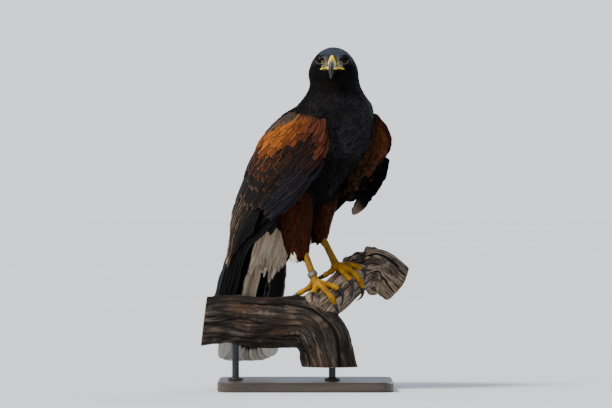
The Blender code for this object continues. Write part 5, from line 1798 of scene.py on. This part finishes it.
def leg_material():
    """Yellow scaly skin with broad plates on the front of the shank and the tops of the toes."""

    def plates(tree, colour):
        plate = attribute(tree, "plate")
        shank = attribute(tree, "shank")
        colour = tinted(tree, shank, (0.0, 1.0, 0.0, 0.5), colour, (0.115, 0.070, 0.014))
        grime = noise(tree, 60.0, 4.0, object_place(tree))
        colour = tinted(tree, grime, (0.5, 0.75, 0.0, 0.4), colour, (0.11, 0.065, 0.012))
        return tinted(tree, plate, (0.0, 0.5, 0.7, 0.0), colour, (0.07, 0.036, 0.005))

    yellows = (0.20, 0.092, 0.0010), (0.37, 0.185, 0.0015), (0.06, 0.028, 0.002)
    return skin_material("leg skin", *yellows, 760.0, 0.55, 0.00016, plates)


def build_legs():
    """Scaled shanks and toes, and black claws."""
    surface = leg_material()
    horn, tree, shader = new_material("claw horn", Roughness=0.3, Coat_Weight=0.12, Coat_Roughness=0.12, IOR=1.35)
    grain = noise(tree, 180.0, 3.0, object_place(tree))
    colour = tinted(tree, grain, (0.3, 0.7), (0.004, 0.004, 0.0046), (0.014, 0.013, 0.015))
    dress(tree, shader, colour, grain, 0.15, 0.0002)
    for side in ("right", "left"):
        ankle, foot = world(HOCK[side]) / MM, world(FOOT[side]) / MM
        shank = np.array([ankle + (foot - ankle) * f for f in np.linspace(-0.08, 1, 60)])
        radii = np.interp(np.linspace(-0.08, 1, 60), *np.transpose(SHANK_RADII))
        lines = [(shank, radii, True)]
        talons = []
        for name in [n for n in TOES if n.startswith(side)]:
            toe, talon = toe_lines(name, FOOT[side])
            lines.append((toe[:, :3], toe[:, 3], False))
            talons.append((name, talon))
        parts = []
        for line, radius, _ in lines:
            hint = (0.05, 0.1, 1.0) if parts else (0, 1, 0)
            points, faces = tube_arrays(tube_rings(line, radius, 24, hint))
            parts.append((points * MM, faces))
        points, faces = tube_arrays(globe(16, 24) * PALM_SHAPE * PALM_RADIUS + foot - np.array([0, 0, 1.5]))
        parts.append((points * MM, faces))
        leg = remeshed("leg_skin_" + side, parts, LEG_GRAIN, 3, surface)
        plate_leg(leg, lines)
        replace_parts(leg, "leg_" + side)
        for name, talon in talons:
            rings = tube_rings(talon[:, :3], talon[:, 3], 24)
            claw = capped_tube("talon_" + name, rings * MM, horn)
            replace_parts(claw, "claw_" + name)


def plate_leg(leg, lines):
    """Raises the broad plates and stores where their edges are."""
    mesh = leg.data
    places, normals = read_points(mesh), read_points(mesh, "normal")
    spots, arc, kinds = [], [], []
    for line, _, shank in lines:
        steps = np.concatenate([[0], np.cumsum(np.linalg.norm(np.diff(line, axis=0), axis=1))])
        spots.append(line)
        arc.append(steps)
        kinds.append(np.full(len(line), float(shank)))
    spots, arc, kinds = np.concatenate(spots), np.concatenate(arc), np.concatenate(kinds)
    near, _ = nearest(places / MM, spots)
    pitch = np.where(kinds[near] > 0.5, SHANK_PLATE, TOE_PLATE)
    phase = arc[near] / pitch
    offset = places / MM - spots[near]
    step = unit(np.gradient(spots, axis=0)[near])
    phase = phase + (offset * step).sum(1) / pitch
    front = np.where(kinds[near] > 0.5, (normals * (AXIS_U * 0.9 - AXIS_V * 0.1)).sum(1), normals[:, 2])
    front = ease((front - 0.1) / 0.5)
    within = np.abs((phase % 1) - 0.5) * 2
    groove = ease((1 - within) / 0.22)
    height = PLATE_RISE * (groove - 1) * front
    plate = 1 - (1 - groove) * front
    store(mesh, "plate", plate)
    store(mesh, "shank", kinds[near])
    move_points(mesh, places + normals * (height * MM)[:, None])


def build_band():
    """The plain metal ring round the right tarsus."""
    made, tree, shader = new_material("band metal", Metallic=0.85, Roughness=0.38)
    where = object_place(tree)
    scratch = noise(tree, 900.0, 2.0, stretched(tree, where, (1.0, 1.0, 0.12)))
    wear = noise(tree, 120.0, 4.0, where)
    colour = tinted(tree, scratch, (0.3, 0.7), (0.11, 0.105, 0.09), (0.27, 0.26, 0.23))
    colour = tinted(tree, wear, (0.55, 0.75, 0.0, 0.6), colour, (0.16, 0.13, 0.09))
    dress(tree, shader, colour, scratch, 0.25, 0.0001)
    low, high = world(FOOT["right"]), world(HOCK["right"])
    middle = low + (high - low) * 0.15
    axis = unit(high - low + np.array([-0.016, 0, 0]))
    side = unit(np.cross(axis, np.array([0.0, 1.0, 0.0])))
    up = np.cross(side, axis)
    ring = ring_object("band", turned(middle, BAND_PROFILE, side, up, axis, 96), made)
    ring.data.shade_flat()
    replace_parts(ring, "leg_band")


# Perch and stand

# Middle lines and radii of the limb and its branch, as in the solids
TRUNK = [
    (-150, -1, 96, 34),
    (-104, -3, 101, 34.5),
    (-66, -5, 100, 36),
    (-28, -10, 97, 37),
    (8, -14, 95, 37),
    (30, -15, 76, 38.5),
    (41, -15, 50, 38),
    (49, -15, 20, 37.5),
]
BRANCH = [
    (12, -18, 104, 26),
    (38, -4, 127.5, 25),
    (67, 21, 151.5, 24.5),
    (96, 42, 173, 28),
    (120, 54, 168, 29),
    (152, 66, 143, 28),
]
KNOBS = [
    (76, 44, 179, 14),
    (98, 50, 192, 13),
    (-118, 8, 128, 9),
    (104, 36, 142, 8),
    (70, 38, 180, 8),
    (107, 46, 198, 7),
]
KNOB_SHAPE = (1.1, 0.9, 1.0)
# The gnarled bend of the branch: middle and radius
GNARL = np.array([88.0, 44.0, 186.0, 30.0])
# The cleft between its two knobs: x and the height it starts from
NOTCH = (88.5, 178.0)
# Sawn ends: a point of each cut and its normal
PERCH_ENDS = [
    ((-137, 0, 99), (-1, 0, 0.12)),
    ((140, 62, 154), (0.8, 0.3, -0.52)),
    ((46, -15, 34), (0, 0, -1)),
]
# Cracks of each limb: angle round it, start, end, width and depth
TRUNK_CRACKS = [
    (2.0, 60, 330, 2.2, 3.4), (-2.6, 10, 150, 1.4, 2.6), (0.6, 120, 300, 1.5, 2.6), (3.0, 150, 330, 1.2, 2.2),
    (1.2, 20, 110, 1.1, 2.0), (-1.2, 70, 200, 1.4, 2.6), (2.5, 210, 330, 1.5, 3.0), (1.5, 235, 330, 1.0, 2.2),
]
BRANCH_CRACKS = [
    (1.9, 70, 190, 1.5, 2.6), (2.7, 60, 170, 1.2, 2.2), (0.9, 90, 190, 1.2, 2.4), (-2.2, 20, 120, 1.2, 2.2),
]
COLLAR_PROFILE = [
    (5.3, 0.2), (10.5, 0.2), (11.0, 0.8), (11.0, 2.6), (10.2, 3.3), (6.4, 3.5), (5.6, 4.4), (5.3, 4.4),
]


def bark_rings(line, count, sides):
    """Rings of a weathered limb, with the long ridges and hollows of the solid."""
    t = np.linspace(0, 1, count)
    table = curve(line, t)
    ahead = curve(line, np.minimum(t + 0.02, 1))[:, :3] - curve(line, np.maximum(t - 0.02, 0))[:, :3]
    side = unit(np.cross(ahead, np.array([0, -1, 0.3])))
    up = unit(np.cross(side, ahead))
    a = circle(sides)[None, :]
    tt = t[:, None]
    ridges = 0.035 * np.sin(3 * a + 9 * tt) + 0.03 * np.sin(5 * a - 14 * tt + 1.3)
    swell = 0.03 * np.sin(21 * tt + 2 * np.cos(a))
    radius = table[:, 3:4] * (1 + ridges + swell)
    out = side[:, None] * np.cos(a)[..., None] + up[:, None] * np.sin(a)[..., None]
    return table[:, None, :3] + out * radius[..., None]


def grain_height(angle, run, radius, seed):
    """Relief of the weathered wood: long fibres, ridges and a few deep cracks."""
    around = angle * radius
    wander = 3.0 * value_noise(run / 55, around / 40, seed)
    across = around + wander
    height = 0.75 * value_noise(across / 5.5, run / 70, seed + 1)
    height = height + 0.5 * value_noise(across / 2.6, run / 45, seed + 2)
    height = height + 0.28 * value_noise(across / 1.3, run / 28, seed + 3)
    height = height + 0.5 * value_noise(run / 16, around / 14, seed + 4)
    furrow = 1 - np.abs(value_noise(across / 7.5, run / 85, seed + 5))
    height = height - 2.2 * furrow**9 + 0.9 * value_noise(run / 9, around / 8, seed + 6) ** 2
    return height


def crack_depth(angle, run, radius, cracks):
    """How deep the cracks are: each is an angle, a start, an end, a width and a depth."""
    depth = np.zeros(len(angle))
    for place, start, stop, width, deep in cracks:
        drift = 0.10 * np.sin(run / 31.0 + place * 5) + 0.05 * np.sin(run / 11.0 + place)
        off = (angle - place - drift + math.pi) % (2 * math.pi) - math.pi
        inside = ease((run - start) / 12) * ease((stop - run) / 12)
        open_by = width * (0.35 + 0.65 * np.sin(np.clip((run - start) / (stop - start), 0, 1) * math.pi))
        depth = np.maximum(depth, deep * inside * np.exp(-np.abs(off * radius / np.maximum(open_by, 0.2)) ** 2.5))
    return depth


def wood_material():
    """Weathered driftwood: grey fibres, warmer brown where the bark has worn, black in the cracks; painted shade
    darkens the lower limb's upper faces, and the branch is paler than the lower limb, partly with painted light.
    """
    made, tree, shader = new_material("driftwood", Roughness=0.82, Specular_IOR_Level=0.12)
    lie = attribute(tree, "lie", "Vector")
    relief = attribute(tree, "relief")
    crack = attribute(tree, "crack")
    cut = attribute(tree, "cut")
    fibre_place = stretched(tree, lie, (1.1, 0.045, 1.0))
    fibre = noise(tree, 1.0, 5.0, fibre_place, 0.65)
    fine_place = stretched(tree, lie, (3.4, 0.09, 1.0))
    fine = noise(tree, 1.0, 3.0, fine_place, 0.6)
    patches = noise(tree, 22.0, 4.0, object_place(tree), 0.6)
    # limb is 0 on the lower limb and 1 on the branch: the branch is far paler, partly the wood's own weathering,
    # partly painted light on the branch and painted shade on the lower limb
    limb = attribute(tree, "limb")
    pale = blend(tree, limb, (0.062, 0.050, 0.041), (0.43, 0.32, 0.23))
    colour = tinted(tree, fibre, (0.40, 0.62), (0.0060, 0.0046, 0.0038), pale)
    colour = tinted(tree, patches, (0.5, 0.72, 0.0, 0.55), colour, (0.115, 0.052, 0.023))
    grey = blend(tree, limb, (0.10, 0.094, 0.088), (0.28, 0.25, 0.22))
    colour = tinted(tree, patches, (0.44, 0.26, 0.0, 0.6), colour, grey)
    colour = tinted(tree, fine, (0.52, 0.36, 0.0, 0.75), colour, (0.007, 0.005, 0.0042))
    colour = tinted(tree, relief, (-0.2, -1.0, 0.0, 0.7), colour, (0.010, 0.0075, 0.006))
    ridge = blend(tree, limb, (0.16, 0.12, 0.09), (0.32, 0.235, 0.165))
    colour = tinted(tree, relief, (0.2, 1.0, 0.0, 0.45), colour, ridge)
    # Painted shade: the upward faces of the lower limb are darkened to about two fifths of their colour
    top = attribute(tree, "top")
    top_shade = blend(tree, 1.0, colour, (0.12, 0.12, 0.13), "MULTIPLY")
    colour = blend(tree, maths(tree, "MULTIPLY", top, 0.68), colour, top_shade)
    colour = tinted(tree, crack, (0.08, 0.5), colour, (0.006, 0.004, 0.0035))
    wavy = maths(tree, "ADD", attribute(tree, "ring"), maths(tree, "MULTIPLY", patches, 3.0))
    wave = maths(tree, "SINE", maths(tree, "MULTIPLY", wavy, 3.6))
    face = tinted(tree, wave, (-0.6, 0.8), (0.22, 0.14, 0.08), (0.36, 0.26, 0.165))
    face = tinted(tree, fine, (0.5, 0.36, 0.0, 0.4), face, (0.10, 0.06, 0.035))
    lumps = maths(tree, "ADD", fibre, maths(tree, "MULTIPLY", fine, 0.8))
    dress(tree, shader, blend(tree, cut, colour, face), lumps, 0.75, 0.0012)
    return made


def build_perch():
    """The driftwood limb with its branch, cracks and sawn ends."""
    surface = wood_material()
    lines = [TRUNK, BRANCH]
    parts = []
    for line, count, sides in ((TRUNK, 90, 72), (BRANCH, 60, 60)):
        points, faces = tube_arrays(bark_rings(line, count, sides))
        parts.append((points * MM, faces))
    for x, y, z, r in KNOBS:
        points, faces = tube_arrays(globe(18, 28, 0.01) * KNOB_SHAPE * r + np.array([x, y, z]))
        parts.append((points * MM, faces))
    perch = remeshed("driftwood", parts, WOOD_GRAIN, 6, surface)
    mesh = perch.data
    places, normals = (read_points(mesh, key).astype(float) for key in ("co", "normal"))
    angle, run, radius, owner = limb_place(places / MM, lines)
    height = grain_height(angle, run, radius, 11)
    height = np.where(owner > 0, grain_height(angle, run, radius, 29), height)
    crack = crack_depth(angle, run, radius, TRUNK_CRACKS)
    crack = np.where(owner > 0, crack_depth(angle, run, radius, BRANCH_CRACKS), crack)
    hold = grip_shield(places / MM)
    gnarl = np.exp(-((np.linalg.norm((places / MM - GNARL[:3]) * (1, 0.7, 1), axis=1) / GNARL[3]) ** 2))
    rough = 5.0 * np.abs(value_noise(run / 10, angle * radius / 9, 41))
    rough = rough + 2.4 * value_noise(run / 4.5, angle * radius / 4, 42)
    notch = np.exp(-(((places[:, 0] / MM - NOTCH[0]) / 4.0) ** 2)) * ease((places[:, 2] / MM - NOTCH[1]) / 8)
    height = height + gnarl * (rough - 1.4) - 8.0 * notch * (owner > 0)
    relief = 0.75 * height * (1 - 0.75 * hold) - crack * (1 - hold) - 0.2
    # top: the upward faces of the lower limb, where the wood's material paints shade
    top = ease((normals[:, 2] - 0.45) / 0.4) * (owner == 0)
    stored = {"relief": height, "crack": crack / 2.6, "top": top, "limb": owner.astype(float)}
    for label, values in stored.items():
        store(mesh, label, values)
    move_points(mesh, places + normals * (relief * MM)[:, None])
    for point, normal in PERCH_ENDS:
        trim(perch, np.array(point) * MM, unit(np.array(normal, float)))
    mark_cuts(perch, lines)
    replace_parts(perch, "perch")


def limb_place(p, lines):
    """For points of the wood: angle round the limb, length along it, radius, and which limb."""
    best = None
    for number, line in enumerate(lines):
        t = np.linspace(0, 1, 160)
        table = curve(line, t)
        ahead = unit(np.gradient(table[:, :3], axis=0))
        side = unit(np.cross(ahead, np.array([0, -1, 0.3])))
        up = unit(np.cross(side, ahead))
        run = np.concatenate([[0], np.cumsum(np.linalg.norm(np.diff(table[:, :3], axis=0), axis=1))])
        near, far = nearest(p, table[:, :3])
        offset = p - table[near, :3]
        angle = np.arctan2((offset * up[near]).sum(1), (offset * side[near]).sum(1))
        at = run[near] + (offset * ahead[near]).sum(1)
        radius = table[near, 3]
        found = [angle, at, radius, np.full(len(p), number), far / radius]
        if best is None:
            best = found
        pick = found[4] < best[4]
        best = [np.where(pick, new, old) for new, old in zip(found, best)]
    return best[:4]


def grip_shield(p):
    """Where the feet hold the limb, the wood is worn smooth."""
    axis = unit(GRIP_END - GRIP_START)
    along = (p - GRIP_START) @ axis
    off = np.linalg.norm(p - GRIP_START - along[:, None] * axis, axis=1)
    return ease((along + 20) / 15) * ease((75 - along) / 15) * ease((36 - off) / 6)


def trim(obj, point, normal):
    """Cuts a closed mesh off flat at a plane."""
    made = bmesh.new()
    made.from_mesh(obj.data)
    geometry = made.verts[:] + made.edges[:] + made.faces[:]
    plane = {"plane_co": Vector(point), "plane_no": Vector(normal)}
    cut = bmesh.ops.bisect_plane(made, geom=geometry, dist=1e-7, clear_outer=True, **plane)
    rim = [e for e in cut["geom_cut"] if isinstance(e, bmesh.types.BMEdge)]
    bmesh.ops.triangle_fill(made, edges=rim, use_beauty=True, use_dissolve=False)
    bmesh.ops.recalc_face_normals(made, faces=made.faces)
    made.to_mesh(obj.data)
    made.free()
    obj.data.shade_smooth()


def mark_cuts(perch, lines):
    """Stores the wood's grain directions, and the rings on its sawn ends, for its material."""
    mesh = perch.data
    places = read_points(mesh).astype(float) / MM
    angle, run, radius, owner = limb_place(places, lines)
    lie = np.stack([np.cos(angle) * radius, run + 500.0 * owner, np.sin(angle) * radius], -1)
    store(mesh, "lie", lie)
    ring = np.zeros(len(places))
    cut = np.zeros(len(places))
    for point, normal in PERCH_ENDS:
        off = (places - np.array(point, float)) @ unit(np.array(normal, float))
        on = np.abs(off) < 0.05
        flat = places - np.array(point, float)
        centre = flat[on].mean(0) if on.any() else np.zeros(3)
        ring = np.where(on, np.linalg.norm(flat - centre, axis=1), ring)
        cut = np.where(on, 1.0, cut)
    store(mesh, "ring", ring)
    store(mesh, "cut", cut)


def build_stand():
    """Materials for the stand's own solids: a dark varnished board and satin black rods."""
    board, tree, shader = new_material("stand board", Roughness=0.38, Coat_Weight=0.2, Coat_Roughness=0.3)
    where = stretched(tree, object_place(tree), (6.0, 120.0, 60.0))
    grain = noise(tree, 1.6, 5.0, where, 0.6)
    pores = noise(tree, 9.0, 3.0, where, 0.6)
    colour = tinted(tree, grain, (0.3, 0.7), (0.018, 0.0115, 0.008), (0.052, 0.033, 0.022))
    colour = tinted(tree, pores, (0.6, 0.7, 0.0, 0.6), colour, (0.008, 0.005, 0.004))
    dress(tree, shader, colour, pores, 0.12, 0.0004)
    steel, tree, shader = new_material("stand steel", Metallic=0.6, Roughness=0.42)
    speck = noise(tree, 700.0, 2.0, object_place(tree))
    colour = tinted(tree, speck, (0.3, 0.7), (0.018, 0.018, 0.019), (0.05, 0.05, 0.052))
    dress(tree, shader, colour, speck, 0.15, 0.0001)
    NODES["stand_base"].material_slots[0].material = board
    for name in ("stand_rod_left", "stand_rod_right"):
        NODES[name].material_slots[0].material = steel
        low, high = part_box(name)
        middle = np.array([(low[0] + high[0]) / 2, (low[1] + high[1]) / 2, low[2]])
        rings = turned(middle, COLLAR_PROFILE, AXIS_X, AXIS_Y, AXIS_Z, 48)
        ring_object(name.replace("rod", "collar"), rings, steel)


# Studio

FLOOR_RADIUS = 60.0
# Suns: turn in degrees, strength, angle across in degrees and colour
SUNS = {
    "key": ((38, 0, -52), 4.6, 14, (1.0, 0.95, 0.87)),
    "rim": ((55, 0, 150), 0.9, 25, (0.93, 0.96, 1.0)),
}
# The brighter side of the sky
SKY_LIGHT = unit(np.array([-0.75, -0.45, 0.6]))
CAMERA_PLACE = (0.0086, -6.0, 0.266)
LENS, SENSOR = 247, 36


def build_studio():
    """A pale floor, a soft sky and two suns."""
    floor_mat, tree, shader = new_material("floor", Roughness=0.9)
    haze = noise(tree, 0.35, 2.0, object_place(tree))
    dress(tree, shader, tinted(tree, haze, (0.3, 0.7), (0.60, 0.64, 0.69), (0.64, 0.675, 0.72)))
    turns = circle(64)
    out = np.stack([np.cos(turns), np.sin(turns), 0 * turns], -1)
    mesh = mesh_from("studio_floor", out * FLOOR_RADIUS, [range(64)])
    mesh.materials.append(floor_mat)
    floor = add_object("studio_floor", mesh)
    sky = bpy.data.worlds.new("soft sky")
    bpy.context.scene.world = sky
    sky.use_nodes = True
    tree = sky.node_tree
    way = add_node(tree, "ShaderNodeTexCoord").outputs["Generated"]
    height = add_node(tree, "ShaderNodeSeparateXYZ", {0: way}).outputs["Z"]
    lit = span(tree, vector_maths(tree, "DOT_PRODUCT", way, SKY_LIGHT), -0.1, 1.0)
    high = blend(tree, lit, (0.28, 0.36, 0.50), (1.1, 1.04, 0.96))
    colour = tinted(tree, height, (0.05, 0.22), (1.22, 1.30, 1.40), high)
    tree.links.new(colour, tree.nodes["Background"].inputs["Color"])
    tree.nodes["Background"].inputs["Strength"].default_value = 1.0
    for name, (turn, strength, angle, colour) in SUNS.items():
        light = bpy.data.lights.new(name, "SUN")
        light.energy = strength
        light.angle = math.radians(angle)
        light.color = colour
        add_object(name, light).rotation_euler = [math.radians(a) for a in turn]


def build_camera():
    """A long lens at the height of the bird's body, level, as in the photograph."""
    camera = bpy.data.cameras.new("camera")
    camera.lens = LENS
    camera.sensor_width = SENSOR
    camera.clip_end = 200
    obj = add_object("camera", camera)
    obj.location = CAMERA_PLACE
    obj.rotation_euler = (math.radians(90), 0, 0)
    bpy.context.scene.camera = obj


BODY = Body()


def main():
    build_camera()
    build_studio()
    skin = build_skin()
    field = survey(skin)
    fine = plumage_material("small feathers", 0.9, 0.78, (0.6, 0.6, 0.6), tip_start=0.93)
    long = plumage_material("long feathers", 1.3, 0.74, (0.35, 0.33, 0.32), roughness=0.5)
    coverts = plumage_material("coverts", 1.0, 0.9, (0.4, 0.38, 0.36), roughness=0.6, sheen=0.03)
    down = plumage_material("down", 0.8, 0.5, (0.9, 0.88, 0.85), roughness=0.8, sheen=0.1)
    roots = seed_roots(skin, field)
    body_feathers(skin, roots, fine)
    for side in (-1, 1):
        pieces = [wing_feathers(side, name, long) for name in WING_TIERS]
        wing_coverts(side, coverts)
        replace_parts(pieces[1], "wing_right" if side < 0 else "wing_left")
    build_hem_down(down)
    build_tail(long, down)
    build_eyes()
    build_bill()
    build_legs()
    build_band()
    build_perch()
    build_stand()


main()
bpy.context.view_layer.update()
